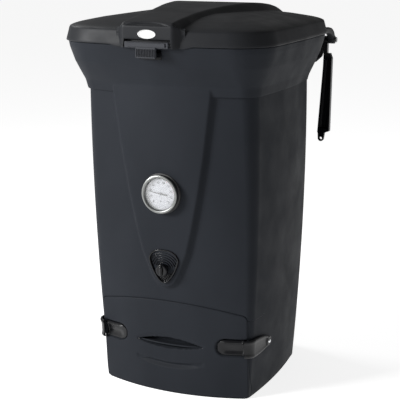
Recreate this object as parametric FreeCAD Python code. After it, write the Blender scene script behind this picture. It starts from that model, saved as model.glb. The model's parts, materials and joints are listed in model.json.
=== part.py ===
import FreeCAD, Part
import math
import os

from FreeCAD import Vector

# Insulated outdoor composting bin with a domed lid, a low emptying hatch, a dial
# thermometer and an air valve. Millimetres. X to the bin's right, Y to its back, Z up.
# The origin is on the ground plane, in the bin's plane of symmetry.

os.makedirs("parts", exist_ok=True)

# ---- driving dimensions -------------------------------------------------------------

WAIST_Z = 879.0          # lower edge of the collar
RIM_Z = 1015.5           # top edge of the collar
SHELL_T = 4.0            # outer shell wall
FOAM_T = 25.4            # insulation between the walls
LINER_T = 3.0            # inner liner wall
GAP = 0.3                # clearance between loose-fitting pieces
WALL_T = SHELL_T + FOAM_T + LINER_T + 2 * GAP

# half width, front, rear, front bow, front corner radius, rear corner radius, side bow
FOOT = (227.4, -218.0, 302.0, 45.0, 22.0, 109.0, 10.0)
WAIST = (256.5, -263.0, 302.0, 45.0, 52.0, 109.0, 10.0)
COLLAR_FOOT = (261.0, -269.0, 303.0, 45.0, 56.0, 108.0, 9.0)
RIM = (307.6, -328.5, 299.6, 41.0, 125.0, 98.0, 4.0)
BELLY = 11.0             # how far the sides swell at half height
COLLAR_FLARE = ((879.0, 0.0), (905.0, 0.13), (935.0, 0.43), (960.0, 0.67),
                (985.0, 0.84), (1000.0, 0.94), (RIM_Z, 1.0))

FLOOR_Z = 24.3           # underside of the liner floor
PAN_T = 3.8
RIM_SEAT_Z = 1003.0      # the liner's top edge

TONGUE_PROUD = 13.0      # raised panel down the front
TONGUE = ((158.0, 892.0), (133.0, 705.0), (116.0, 605.0), (95.0, 500.0),
          (78.0, 430.0), (60.0, 390.0), (40.0, 345.0), (22.0, 327.0))
TONGUE_TIP_Z = 320.0

THERMO_Z = 605.0
THERMO_R = 54.0
THERMO_SEAT_Y = -264.0
THERMO_DEPTH = 22.0

VENT_Z = 384.0
VENT_SEAT_Y = -248.0
VENT_BORE_R = 27.0
VENT_KNOB_R = 18.0

HATCH_HALF_W = 230.0
HATCH_TOP_Z = 284.0
HATCH_CORNER_Z = 250.0
HATCH_CORNER_Y = -152.0
HATCH_PROUD = 1.5
HATCH_SKIN = 3.5
DOOR_HALF_W = 160.5      # opening through the front wall
DOOR_Z0 = 40.0
DOOR_Z1 = 236.0
GRIP_HALF_W = 108.0
GRIP_Z = 154.0
GRIP_RISE = 19.0
GRIP_DEPTH = 26.0
GROOVE_Z = 90.0
GROOVE_RISE = 11.0
GROOVE_DEPTH = 9.0
GROOVE_HALF_W = 106.0
PAD_X0 = 142.0
PAD_X1 = 219.0
PAD_Z0 = 131.0
PAD_Z1 = 184.0
PAD_RECESS = 11.0

STRAP_PIVOT_X = 224.5
STRAP_PIVOT_Z = 158.0
STRAP_T = 7.0
STRAP_END_Y = -80.0
STRAP_END_Z = 150.0

LID_Z = 1016.6
LID_PROUD = 4.5
LID_TOP_Z = 1093.0
LID_T = 4.0
BAND_TOP_Z = 1110.0
BAND_HALF_W = 70.0
BAND_FOOT_W = 97.0
BLOCK_Y = -345.0

HINGE_Y = 352.0
HINGE_Z = 988.0
PIN_R = 5.0
PIN_FIT = 0.05           # radial running clearance
LATCH_Y = -339.0
LATCH_Z = 1021.0
ARM_END_Z = 679.0


# ---- shape helpers ------------------------------------------------------------------

def mix(a, b, t):
    return tuple(p + (q - p) * t for p, q in zip(a, b))


def body_size(z):
    t = z / WAIST_Z
    size = list(mix(FOOT, WAIST, t))
    size[0] += 4.0 * BELLY * t * (1.0 - t)
    return size


def collar_size(z):
    for (z0, f0), (z1, f1) in zip(COLLAR_FLARE, COLLAR_FLARE[1:]):
        if z <= z1:
            break
    flare = f0 + (f1 - f0) * (z - z0) / (z1 - z0)
    return list(mix(COLLAR_FOOT, RIM, flare))


def wall_size(z):
    return body_size(z) if z <= WAIST_Z else collar_size(z)


def outline(size, z, inset=0.0):
    """Closed wire at height z: bowed front, rounded corners, straight rear."""
    half, front, rear, bow, r_front, r_rear, side = size
    radius = (half ** 2 + bow ** 2) / (2.0 * bow)
    centre = front + radius
    radius -= inset
    half -= inset
    rear -= inset
    r_front = max(r_front - inset, 6.0)
    r_rear = max(r_rear - inset, 12.0)
    corner_x = half - r_front
    corner_y = centre - math.sqrt((radius - r_front) ** 2 - corner_x ** 2)
    scale = radius / (radius - r_front)
    touch_x = corner_x * scale
    touch_y = centre + (corner_y - centre) * scale
    mean = Vector(touch_x - corner_x, touch_y - corner_y, 0).normalize() + Vector(1, 0, 0)
    mid = Vector(corner_x, corner_y, 0) + mean.normalize() * r_front
    diagonal = r_rear * math.sqrt(0.5)
    rear_x = half - r_rear
    rear_y = rear - r_rear
    side_y = 0.5 * (corner_y + rear_y)

    def point(x, y):
        return Vector(x, y, z)

    right = [
        (point(touch_x, touch_y), point(mid.x, mid.y), point(half, corner_y)),
        (point(half, corner_y), point(half + side, side_y), point(half, rear_y)),
        (point(half, rear_y), point(rear_x + diagonal, rear_y + diagonal), point(rear_x, rear)),
    ]
    left = [tuple(Vector(-p.x, p.y, z) for p in reversed(arc)) for arc in reversed(right)]
    front_arc = (point(-touch_x, touch_y), point(0, centre - radius), point(touch_x, touch_y))
    edges = [Part.Arc(*front_arc).toShape()]
    edges += [Part.Arc(*arc).toShape() for arc in right]
    edges.append(Part.makeLine(point(rear_x, rear), point(-rear_x, rear)))
    edges += [Part.Arc(*arc).toShape() for arc in left]
    return Part.Wire(edges)


def loft(wires):
    return Part.makeLoft(wires, True, True)


def body_solid(z0, z1, inset=0.0):
    spans = max(1, round((z1 - z0) / 150.0))
    heights = [z0 + (z1 - z0) * k / spans for k in range(spans + 1)]
    return loft([outline(body_size(z), z, inset) for z in heights])


def collar_solid(z0, z1, inset=0.0):
    heights = [z0] + [z for z, _ in COLLAR_FLARE if z0 + 5 < z < z1 - 5] + [z1]
    return loft([outline(collar_size(z), z, inset) for z in heights])


def tub_solid(z0, z1, inset):
    """Body and collar in one run with no step, as the liner has."""
    heights = [z0] + [WAIST_Z * k / 6.0 for k in range(1, 7)]
    heights += [z for z, _ in COLLAR_FLARE if WAIST_Z + 5 < z < z1 - 5] + [z1]
    return loft([outline(wall_size(z), z, inset) for z in heights])


def cabinet_solid(z0, z1, inset):
    """Everything inside the outer shell's surface, less an inset."""
    step = WAIST_Z + inset
    return body_solid(z0, step, inset).fuse(collar_solid(step, z1, inset))


def front_y(x, z, inset=0.0):
    half, front, _, bow = body_size(z)[:4]
    radius = (half ** 2 + bow ** 2) / (2.0 * bow)
    return front + radius - math.sqrt((radius - inset) ** 2 - x ** 2)


def slab(inset0, inset1, half_w, z0, z1):
    """Curved plate that follows the front face between two insets."""
    wires = []
    for z in (z0, z1):
        edges = []
        arcs = []
        for inset in (inset0, inset1):
            side = front_y(half_w, z, inset)
            ends = (Vector(-half_w, side, z), Vector(half_w, side, z))
            arcs.append((ends, Part.Arc(ends[0], Vector(0, front_y(0, z, inset), z), ends[1])))
        edges.append(arcs[0][1].toShape())
        edges.append(Part.makeLine(arcs[0][0][1], arcs[1][0][1]))
        edges.append(arcs[1][1].toShape())
        edges.append(Part.makeLine(arcs[1][0][0], arcs[0][0][0]))
        wires.append(Part.Wire(Part.__sortEdges__(edges)))
    return loft(wires)


def box(x0, x1, y0, y1, z0, z1):
    return Part.makeBox(x1 - x0, y1 - y0, z1 - z0, Vector(x0, y0, z0))


def prism(points, direction, start):
    """Polygon of (u, v) pairs, pushed along X or Y from start by direction's length."""
    if direction.x:
        corners = [Vector(start, u, v) for u, v in points]
    else:
        corners = [Vector(u, start, v) for u, v in points]
    return Part.Face(Part.makePolygon(corners + corners[:1])).extrude(direction)


def rod(x, y, z, radius, length, axis):
    return Part.makeCylinder(radius, length, Vector(x, y, z), axis)


def ring(x, y, z, outer, inner, length, axis):
    return rod(x, y, z, outer, length, axis).cut(rod(x, y, z, inner, length, axis))


def mirrored(shape):
    return shape.mirror(Vector(0, 0, 0), Vector(1, 0, 0))


ALONG_X = Vector(1, 0, 0)
ALONG_Y = Vector(0, 1, 0)
ALONG_Z = Vector(0, 0, 1)
PARTS = {}


def arch(grow=0.0):
    """The hatch's outline seen from the front, as a prism through the front wall."""
    half = HATCH_HALF_W + grow
    top = HATCH_TOP_Z + grow
    low = -2.0
    shoulder = 18.0
    knee_z = HATCH_CORNER_Z + grow + 8.0
    edges = [
        Part.makeLine(Vector(-half, 0, low), Vector(half, 0, low)),
        Part.makeLine(Vector(half, 0, low), Vector(half, 0, knee_z - shoulder)),
        Part.Arc(Vector(half, 0, knee_z - shoulder), Vector(half - 5, 0, knee_z - 5),
                 Vector(half - shoulder, 0, knee_z)).toShape(),
        Part.Arc(Vector(half - shoulder, 0, knee_z), Vector(0, 0, top),
                 Vector(shoulder - half, 0, knee_z)).toShape(),
        Part.Arc(Vector(shoulder - half, 0, knee_z), Vector(5 - half, 0, knee_z - 5),
                 Vector(-half, 0, knee_z - shoulder)).toShape(),
        Part.makeLine(Vector(-half, 0, knee_z - shoulder), Vector(-half, 0, low)),
    ]
    face = Part.Face(Part.Wire(edges))
    face.translate(Vector(0, -330, 0))
    return face.extrude(Vector(0, 260, 0))


def lens(z, rise, half_w, grow=0.0):
    """Lens-shaped prism through the front wall."""
    half = half_w + grow
    lift = rise + grow
    tip = Vector(half, 0, z)
    face = Part.Face(Part.Wire([
        Part.Arc(Vector(-half, 0, z), Vector(0, 0, z + lift), tip).toShape(),
        Part.Arc(tip, Vector(0, 0, z - lift), Vector(-half, 0, z)).toShape(),
    ]))
    face.translate(Vector(0, -330, 0))
    return face.extrude(Vector(0, 260, 0))


def pad_outline(grow, outer):
    """Strap pad's outline seen from the front: round inner end, square outer end."""
    z0 = PAD_Z0 - grow
    z1 = PAD_Z1 + grow
    radius = 0.5 * (z1 - z0)
    start = PAD_X0 - grow + radius
    face = Part.Face(Part.Wire([
        Part.makeLine(Vector(start, 0, z1), Vector(outer, 0, z1)),
        Part.makeLine(Vector(outer, 0, z1), Vector(outer, 0, z0)),
        Part.makeLine(Vector(outer, 0, z0), Vector(start, 0, z0)),
        Part.Arc(Vector(start, 0, z0), Vector(start - radius, 0, z0 + radius),
                 Vector(start, 0, z1)).toShape(),
    ]))
    face.translate(Vector(0, -330, 0))
    return face.extrude(Vector(0, 260, 0))


# ---- cabinet ------------------------------------------------------------------------

def hatch_cavity():
    """Room for the hatch: its outline with clearance, down to the frame's face.

    Low down, where the body is hardly wider than the hatch, the whole corner is open.
    """
    room = slab(-30.0, 18.9, HATCH_HALF_W + 0.6, -2.0, 300.0).common(arch(0.6))
    for side in (-1, 1):
        near, far = sorted((side * 215.0, side * 262.0))
        room = room.fuse(box(near, far, -240.0, HATCH_CORNER_Y, -2.0, 125.0))
    return room


def tongue():
    points = [(-x, z) for x, z in TONGUE] + [(0.0, TONGUE_TIP_Z)]
    points += [(x, z) for x, z in reversed(TONGUE)]
    outer = body_solid(300.0, 895.0, -TONGUE_PROUD)
    return prism(points, ALONG_Y * 200, -330.0).common(outer)


def vent_outline(grow, start, depth):
    """Rounded triangle, point down, seen from the front."""
    half = 46.0 + grow
    points = [(0, 343 - grow), (22 + grow, 358), (38 + grow, 385), (half, 412), (42 + grow, 428 + grow),
              (24, 439 + grow), (0, 441 + grow)]
    points += [(-x, z) for x, z in reversed(points[1:-1])]
    return prism(points, ALONG_Y * depth, start)


def outer_shell():
    shell = cabinet_solid(1.5, RIM_Z, 0.0).fuse(tongue())
    shell = shell.cut(cabinet_solid(-1.0, RIM_Z + 5.0, SHELL_T)).cut(hatch_cavity())
    shell = shell.cut(rod(0, -300, THERMO_Z, THERMO_R + 2.5, THERMO_SEAT_Y + 300, ALONG_Y))
    shell = shell.cut(rod(0, -300, THERMO_Z, 7.0, 100, ALONG_Y))
    shell = shell.cut(vent_outline(1.5, -300, VENT_SEAT_Y + 300))
    shell = shell.cut(rod(0, -300, VENT_Z, VENT_BORE_R + GAP, 100, ALONG_Y))
    shell = shell.cut(rod(0, 280, 62, 9.0 + GAP, 40, ALONG_Y))
    PARTS["outer_shell"] = shell


def base_pan():
    flange = body_solid(0.0, 1.4)
    tray = body_solid(0.2, FLOOR_Z - GAP, SHELL_T + GAP)
    hollow = body_solid(PAN_T, FLOOR_Z + 2.0, SHELL_T + GAP + PAN_T)
    PARTS["base_pan"] = flange.fuse(tray).cut(hollow)
    PARTS["floor_foam"] = body_solid(PAN_T + GAP, FLOOR_Z - GAP, SHELL_T + PAN_T + 2 * GAP)


def wall_foam():
    top = RIM_SEAT_Z - 3.0
    layer = cabinet_solid(FLOOR_Z, top, SHELL_T + GAP)
    layer = layer.cut(tub_solid(FLOOR_Z - 1.0, top + 1.0, SHELL_T + GAP + FOAM_T))
    layer = layer.cut(hatch_cavity())
    cx, cy = 190.0, -130.0
    rx, ry = 140.0, 190.0
    far = 400.0
    fields = {
        "front_foam": [(-cx, cy), (-cx - far, cy - far), (cx + far, cy - far), (cx, cy)],
        "rear_foam": [(-rx, ry), (rx, ry), (rx + far, ry + far), (-rx - far, ry + far)],
        "right_foam": [(cx, cy), (cx + far, cy - far), (rx + far, ry + far), (rx, ry)],
        "left_foam": [(-cx, cy), (-cx - far, cy - far), (-rx - far, ry + far), (-rx, ry)],
    }
    for name, corners in fields.items():
        base = 290.0 if name == "front_foam" else FLOOR_Z
        face = Part.Face(Part.makePolygon([Vector(x, y, base) for x, y in corners + corners[:1]]))
        panel = layer.common(face.extrude(Vector(0, 0, 1100)))
        if name == "front_foam":
            panel = panel.cut(rod(0, -300, THERMO_Z, 7.0, 150, ALONG_Y))
            panel = panel.cut(rod(0, -300, VENT_Z, VENT_BORE_R + GAP, 150, ALONG_Y))
        if name == "rear_foam":
            panel = panel.cut(rod(0, 240, 62, 9.0 + GAP, 80, ALONG_Y))
        PARTS[name] = max(panel.Solids, key=lambda solid: solid.Volume)


def door_hole(grow=0.0):
    return box(-DOOR_HALF_W - grow, DOOR_HALF_W + grow, -330, -100, DOOR_Z0 - grow, DOOR_Z1 + grow)


def inner_liner():
    outer = SHELL_T + FOAM_T + 2 * GAP
    liner = tub_solid(FLOOR_Z, RIM_SEAT_Z, outer)
    liner = liner.cut(tub_solid(FLOOR_Z + LINER_T, RIM_SEAT_Z + 1, WALL_T)).cut(door_hole())
    liner = liner.cut(rod(0, -300, THERMO_Z, 7.0, 150, ALONG_Y))
    liner = liner.cut(rod(0, -300, VENT_Z, VENT_BORE_R + GAP, 150, ALONG_Y))
    PARTS["inner_liner"] = liner.cut(rod(0, 240, 62, 9.0 + GAP, 80, ALONG_Y))


def hatch_frame():
    frame = slab(19.0, SHELL_T + FOAM_T, 186.0, FLOOR_Z, 289.7)
    PARTS["hatch_frame"] = frame.cut(door_hole())


def rim_frame():
    """Closes the double wall at the mouth and carries the lid's seal."""
    top = RIM_Z - 2.5
    cap = collar_solid(RIM_SEAT_Z + GAP, top, SHELL_T + GAP)
    mouth = collar_solid(RIM_SEAT_Z - 1, top + 1, WALL_T + 2.5)
    PARTS["rim_frame"] = cap.cut(mouth)


def floor_grate():
    """Slotted floor that keeps the heap off the drain water, on short runners."""
    z = 60.0
    plate = loft([outline(body_size(z), level, WALL_T + 18.0) for level in (z, z + 4.0)])
    for x in range(-150, 151, 25):
        for y0 in (-110.0, 60.0):
            plate = plate.cut(box(x - 4, x + 4, y0, y0 + 130, z - 1, z + 5))
    for x in (-120.0, 0.0, 120.0):
        plate = plate.fuse(box(x - 1.5 - 12.5, x + 1.5 - 12.5, -120, 220, FLOOR_Z + LINER_T + GAP, z))
    PARTS["floor_grate"] = plate.removeSplitter()


def drain():
    """Hose spigot low on the back wall, held by a nut on the inside."""
    y_out = 303.0
    spigot = rod(0, 256, 62, 9.0, y_out + 34 - 256, ALONG_Y)
    spigot = spigot.fuse(rod(0, y_out, 62, 17.0, 5, ALONG_Y))
    PARTS["drain_spigot"] = spigot.cut(rod(0, 250, 62, 6.0, 100, ALONG_Y)).removeSplitter()
    nut = prism([(20 * math.cos(k * math.pi / 3), 62 + 20 * math.sin(k * math.pi / 3))
                 for k in range(6)], ALONG_Y * 8, 260.2)
    PARTS["drain_nut"] = nut.cut(rod(0, 250, 62, 9.0, 30, ALONG_Y))


# ---- air valve ----------------------------------------------------------------------

def air_valve():
    y = VENT_SEAT_Y
    sleeve = ring(0, y + 0.5, VENT_Z, VENT_BORE_R, VENT_BORE_R - 2.0, 52, ALONG_Y)
    PARTS["vent_sleeve"] = sleeve
    shield = vent_outline(0.0, y - 9.0, 8.8)
    shield = shield.cut(rod(0, y - 4.0, VENT_Z, VENT_BORE_R - 1.5, 20, ALONG_Y))
    for k in range(3):
        inner = VENT_KNOB_R + 3.0 + 9.0 * k
        slot = ring(0, y - 20, VENT_Z, inner + 4.5, inner, 40, ALONG_Y)
        window = prism([(0, VENT_Z), (-60, VENT_Z + 84), (60, VENT_Z + 84)], ALONG_Y * 40, y - 20)
        shield = shield.cut(slot.common(window).common(vent_outline(-6.0, y - 20, 40)))
    shield = shield.cut(rod(0, y - 20, VENT_Z, 5.0 + PIN_FIT, 40, ALONG_Y))
    PARTS["vent_shield"] = shield
    knob = rod(0, y - 24, VENT_Z, VENT_KNOB_R, 14.5, ALONG_Y)
    finger = box(-5, 5, y - 31, y - 23, VENT_Z - 16, VENT_Z + 16)
    knob = knob.fuse(finger).fuse(rod(0, y - 12, VENT_Z, 5.0, 14, ALONG_Y))
    knob = knob.cut(rod(0, y - 4, VENT_Z, 1.6, 7, ALONG_Y))
    PARTS["vent_knob"] = knob
    disc = rod(0, y + 2.0, VENT_Z, VENT_BORE_R - 2.6, 2.5, ALONG_Y)
    for angle in (0, 180):
        spot = Vector(13.5 * math.cos(math.radians(angle)), 0, 13.5 * math.sin(math.radians(angle)))
        disc = disc.cut(rod(spot.x, y, VENT_Z + spot.z, 7.5, 8, ALONG_Y))
    PARTS["vent_disc"] = disc.cut(rod(0, y, VENT_Z, 1.6, 8, ALONG_Y))
    screw = rod(0, y - 3.5, VENT_Z, 1.6, 8, ALONG_Y)
    PARTS["vent_screw"] = screw.fuse(rod(0, y + 4.5, VENT_Z, 3.4, 2, ALONG_Y))
    grille = rod(0, y + 52.6, VENT_Z, VENT_BORE_R + 6.0, 2.5, ALONG_Y)
    for x in range(-20, 21, 10):
        for z in range(-20, 21, 10):
            if x * x + z * z < 550:
                grille = grille.cut(rod(x, y + 50, VENT_Z + z, 3.0, 10, ALONG_Y))
    PARTS["vent_grille"] = grille


# ---- thermometer --------------------------------------------------------------------

def thermometer():
    y = THERMO_SEAT_Y
    face = y - THERMO_DEPTH
    PARTS["thermometer_gasket"] = ring(0, y - 3.0, THERMO_Z, THERMO_R + 1.5, 30.0, 3.0, ALONG_Y)
    case = rod(0, face + 4, THERMO_Z, THERMO_R - 2.0, THERMO_DEPTH - 7.0 - GAP, ALONG_Y)
    case = case.cut(rod(0, face, THERMO_Z, THERMO_R - 5.0, THERMO_DEPTH - 7.0, ALONG_Y))
    PARTS["thermometer_case"] = case.cut(rod(0, face, THERMO_Z, 4.0, 60, ALONG_Y))
    bezel = ring(0, face, THERMO_Z, THERMO_R, 44.5, 3.8, ALONG_Y)
    bezel = bezel.fuse(ring(0, face + 3.8, THERMO_Z, THERMO_R, THERMO_R - 1.8, 8.0, ALONG_Y))
    PARTS["thermometer_bezel"] = bezel
    PARTS["thermometer_dial"] = ring(0, face + 12.0, THERMO_Z, 48.5, 1.4, 1.5, ALONG_Y)
    PARTS["thermometer_lens"] = rod(0, face + 4.0, THERMO_Z, 48.5, 2.2, ALONG_Y)
    tail = prism([(-1.0, -34.0), (1.0, -34.0), (2.6, 0), (3.2, 17.0), (-3.2, 17.0), (-2.6, 0)],
                 ALONG_Y * 1.0, 0.0)
    tail.rotate(Vector(0, 0, 0), ALONG_Y, 97.0)
    tail.translate(Vector(0, face + 9.5, THERMO_Z))
    hub = rod(0, face + 8.2, THERMO_Z, 4.2, 2.6, ALONG_Y)
    arbor = rod(0, face + 8.2, THERMO_Z, 1.35, 10.0, ALONG_Y)
    PARTS["thermometer_pointer"] = tail.fuse(hub).fuse(arbor)
    stem = ring(0, y - 3.0 - 3.2, THERMO_Z, 3.9, 2.6, 190.0, ALONG_Y)
    PARTS["thermometer_stem"] = stem.fuse(rod(0, y + 182.8, THERMO_Z, 3.9, 4.0, ALONG_Y))
    nut_y = -248.0 + WALL_T + 2.0
    nut = prism([(13 * math.cos(k * math.pi / 3), THERMO_Z + 13 * math.sin(k * math.pi / 3))
                 for k in range(6)], ALONG_Y * 8, nut_y)
    PARTS["thermometer_nut"] = nut.cut(rod(0, nut_y - 1, THERMO_Z, 3.9, 12, ALONG_Y))


# ---- hatch --------------------------------------------------------------------------

def hatch():
    z0 = 3.0
    front = -HATCH_PROUD
    back = HATCH_SKIN - HATCH_PROUD
    outline_prism = arch()
    skin = slab(front, back, HATCH_HALF_W, z0, 300.0).common(outline_prism)
    flange = slab(back - 0.5, 18.4, HATCH_HALF_W, z0, 240.0)
    flange = flange.cut(box(-226.5, 226.5, -330, 0, -5, 400)).common(outline_prism)
    skin = skin.fuse(flange)
    body = slab(back + GAP, 16.0, 226.0, FLOOR_Z + 3.0, 300.0).common(arch(-4.0))
    plug = slab(15.9, SHELL_T + FOAM_T, DOOR_HALF_W - 3.0, DOOR_Z0 + 3.0, DOOR_Z1 - 3.0)
    body = body.fuse(plug)
    pockets = [
        (lambda g: lens(GRIP_Z, GRIP_RISE, GRIP_HALF_W, g), GRIP_DEPTH),
        (lambda g: lens(GROOVE_Z, GROOVE_RISE, GROOVE_HALF_W, g), GROOVE_DEPTH),
        (lambda g: pad_outline(g + 2.0, 240.0), PAD_RECESS),
        (lambda g: mirrored(pad_outline(g + 2.0, 240.0)), PAD_RECESS),
    ]
    wall = 2.5
    for make, depth in pockets:
        hollow = slab(-6.0, depth, HATCH_HALF_W + 2, 20.0, 230.0).common(make(0.0))
        cup = slab(front, depth + wall, HATCH_HALF_W, 20.0, 230.0).common(make(wall))
        room = slab(-6.0, depth + wall + GAP, HATCH_HALF_W + 2, 20.0, 230.0).common(make(wall + GAP))
        skin = skin.fuse(cup).cut(hollow)
        body = body.cut(room)
    fin = slab(3.0, GRIP_DEPTH + 1, 92.0, GRIP_Z - 1.5, GRIP_Z + 1.5)
    PARTS["hatch_shell"] = skin.fuse(fin)
    PARTS["hatch_foam"] = max(body.Solids, key=lambda solid: solid.Volume)
    PARTS["hatch_liner"] = slab(SHELL_T + FOAM_T + GAP, SHELL_T + FOAM_T + GAP + 2.5,
                                DOOR_HALF_W - 3.0, DOOR_Z0 + 3.0, DOOR_Z1 - 3.0)
    seal = slab(16.4, 18.6, DOOR_HALF_W + 12.0, DOOR_Z0 - 10.0, DOOR_Z1 + 12.0)
    PARTS["hatch_seal"] = seal.cut(door_hole(2.0))


def strap_outline(z, thick):
    size = body_size(z)
    size[0] += 2.5 + thick
    size[1] -= 7.0 + thick
    size[4] += thick + 4.0
    size[2] += 2.5 + thick
    return outline(size, z)


def strap_surface_x(y, z):
    """Outer side wall of the cabinet at a point, for what sits on it."""
    probe = Part.makeLine(Vector(0, y, z), Vector(400, y, z))
    return max(vertex.X for vertex in PARTS["outer_shell"].common(probe).Vertexes)


def straps():
    lower, upper = 105.0, 200.0
    outer = loft([strap_outline(z, STRAP_T) for z in (lower, upper)])
    inner = loft([strap_outline(z, 0.0) for z in (lower, upper)])
    eye_r = 15.0
    side_view = prism([(-300, PAD_Z1), (-190, PAD_Z1 + 2), (-140, 179), (STRAP_END_Y + 6, STRAP_END_Z + 14),
                       (STRAP_END_Y + 4, STRAP_END_Z - 14), (-128, 130), (-170, 127), (-300, PAD_Z0)],
                      ALONG_X * 200, 200.0)
    side_view = side_view.fuse(rod(200, STRAP_END_Y, STRAP_END_Z, eye_r, 100, ALONG_X))
    band = outer.cut(inner).common(side_view)
    band = band.common(box(STRAP_PIVOT_X, 400, -400, 0, 0, 400))
    pivot_y = front_y(STRAP_PIVOT_X, STRAP_PIVOT_Z, -(7.0 + 0.5 * STRAP_T))
    knuckle = rod(STRAP_PIVOT_X, pivot_y, PAD_Z0 + 2, 4.0, PAD_Z1 - PAD_Z0 - 4, ALONG_Z)
    wall_x = strap_surface_x(STRAP_END_Y, STRAP_END_Z)
    slot = box(wall_x - 5, wall_x + 7.0, STRAP_END_Y - 7.5, STRAP_END_Y + 40,
               STRAP_END_Z - 7.5, STRAP_END_Z + 7.5)
    strap = band.fuse(knuckle).cut(slot)
    strap = max(strap.Solids, key=lambda solid: solid.Volume)
    rivet = rod(wall_x + 8.3, STRAP_END_Y, STRAP_END_Z, 6.0, 4.5, ALONG_X)
    strap = strap.cut(rivet)
    stud = rod(wall_x - 0.6, STRAP_END_Y, STRAP_END_Z, 6.0, 7.0, ALONG_X)
    stud = stud.cut(PARTS["outer_shell"])
    pad = slab(-3.0, PAD_RECESS - 0.4, PAD_X1, 120.0, 200.0).common(pad_outline(0.0, PAD_X1))
    pieces = {"strap": strap, "strap_rivet": rivet, "strap_stud": stud, "strap_pad": pad}
    for name, piece in pieces.items():
        PARTS[name + "_right"] = piece
        PARTS[name + "_left"] = mirrored(piece)


# ---- lid ----------------------------------------------------------------------------

LID_STEPS = ((LID_Z, 0.0), (1046.0, 1.5), (1054.0, 7.0), (1063.0, 34.0), (1072.0, 74.0),
             (1081.0, 124.0), (1088.0, 180.0), (LID_TOP_Z, 246.0))


def lid_size(pull):
    """Lid outline, pulled in from the rim by a distance; the rear keeps closer."""
    size = list(RIM)
    size[0] += LID_PROUD - pull
    size[1] -= LID_PROUD - pull
    size[2] += LID_PROUD - pull * 0.9
    size[3] *= max(0.05, 1.0 - pull / 330.0)
    size[4] = max(30.0, size[4] - 0.4 * pull)
    size[5] = max(40.0, size[5] - 0.25 * pull)
    return size


def lid_solid(inset, base):
    steps = [(base, 0.0)] + [step for step in LID_STEPS[1:]]
    return loft([outline(lid_size(pull), z - inset if z > base else z, inset) for z, pull in steps])


BAND_LINE = ((BLOCK_Y, 1018.0), (BLOCK_Y, 1066.0), (-338.0, 1075.0), (-322.0, 1081.0), (-180.0, 1098.0),
             (-60.0, 1106.5), (60.0, BAND_TOP_Z), (150.0, 1108.0), (240.0, 1097.0), (296.0, 1078.0),
             (302.0, 1060.0), (302.0, 1018.0))


def band_solid(inset=0.0):
    """Raised spine from the front block over the dome to the rear edge."""
    wires = []
    for x, drop in ((-BAND_FOOT_W, 17.0), (-BAND_HALF_W, 0.0), (BAND_HALF_W, 0.0), (BAND_FOOT_W, 17.0)):
        shift = inset + drop
        points = []
        for y, z in BAND_LINE:
            pulled = y + shift if y < 0 else y - shift
            points.append(Vector(x - math.copysign(inset, x), pulled if abs(y) > 290 else y,
                                 z - (shift if z > 1070 else 0.0)))
        wires.append(Part.makePolygon(points + points[:1]))
    return loft(wires)


def knuckle_plate(x0, x1, grow=0.0):
    """Side view of the lid's hinge arm, from the skirt back to the pin."""
    points = [(215.0, LID_Z), (300.0, LID_Z), (328.0, 1004.0), (HINGE_Y - 11, HINGE_Z - 2 - grow),
              (HINGE_Y + 11, HINGE_Z), (HINGE_Y + 13, 1008.0), (345.0, 1024.0), (318.0, 1029.0), (215.0, 1029.0)]
    plate = prism(points, ALONG_X * (x1 - x0), x0)
    return plate.fuse(rod(x0, HINGE_Y, HINGE_Z, 12.0, x1 - x0, ALONG_X))


def lid():
    outer = lid_solid(0.0, LID_Z).fuse(band_solid())
    inner = lid_solid(LID_T, LID_Z - 1.0).fuse(band_solid(LID_T).cut(box(-400, 400, -400, 400, 900, LID_Z - 0.5)))
    shell = outer.cut(inner)
    for x0, x1 in ((276.0, 296.0), (-296.0, -276.0)):
        arm = knuckle_plate(x0, x1).cut(rod(x0 - 1, HINGE_Y, HINGE_Z, PIN_R + PIN_FIT, x1 - x0 + 2, ALONG_X))
        shell = shell.fuse(arm.cut(inner))
    latch_room = rod(-66, LATCH_Y, LATCH_Z, 11.0, 132, ALONG_X)
    shell = shell.cut(latch_room).cut(box(-66, 66, -360, LATCH_Y, 1000, LATCH_Z + 9))
    for x in (-70.0, 66.0):
        cheek = box(x, x + 4, BLOCK_Y + 1, -325, LID_Z, LATCH_Z + 12)
        cheek = cheek.fuse(box(x, x + 4, -330, -318, LID_Z, 1050))
        shell = shell.fuse(cheek)
    shell = shell.cut(rod(-75, LATCH_Y, LATCH_Z, 2.5, 150, ALONG_X))
    badge_face = BLOCK_Y
    PARTS["lid_badge"] = badge(badge_face)
    shell = shell.cut(badge(badge_face + 0.01, 0.3))
    PARTS["lid_shell"] = max(shell.Solids, key=lambda solid: solid.Volume)
    foam = lid_solid(LID_T + 1.2, 1023.2)
    foam = foam.cut(rod(-68, LATCH_Y, LATCH_Z, 13.0, 136, ALONG_X))
    foam = foam.cut(box(-72, 72, -360, -300, 1000, 1052))
    PARTS["lid_foam"] = max(foam.Solids, key=lambda solid: solid.Volume)
    plug_inset = WALL_T + 9.0
    plate = collar_solid(1000.0, RIM_Z, SHELL_T).common(box(-400, 400, -400, 400, 1000, 1003))
    plate.translate(Vector(0, 0, 19.7))
    plug = collar_solid(985.0, 1021.0 - 5.5, plug_inset)
    plug.translate(Vector(0, 0, 5.5))
    hollow = collar_solid(985.0, RIM_Z, plug_inset + 3.0)
    hollow.translate(Vector(0, 0, 8.5))
    liner = plate.fuse(plug).cut(hollow).cut(box(-76, 76, -360, -316, 1000, 1040))
    PARTS["lid_liner"] = max(liner.Solids, key=lambda solid: solid.Volume)
    seal_outer = collar_solid(1000.0, RIM_Z, 14.0).common(box(-400, 400, -400, 400, 1000, 1006.2))
    seal_inner = collar_solid(999.0, RIM_Z, 24.0)
    seal = seal_outer.cut(seal_inner)
    seal.translate(Vector(0, 0, 13.4))
    PARTS["lid_seal"] = seal


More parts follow.
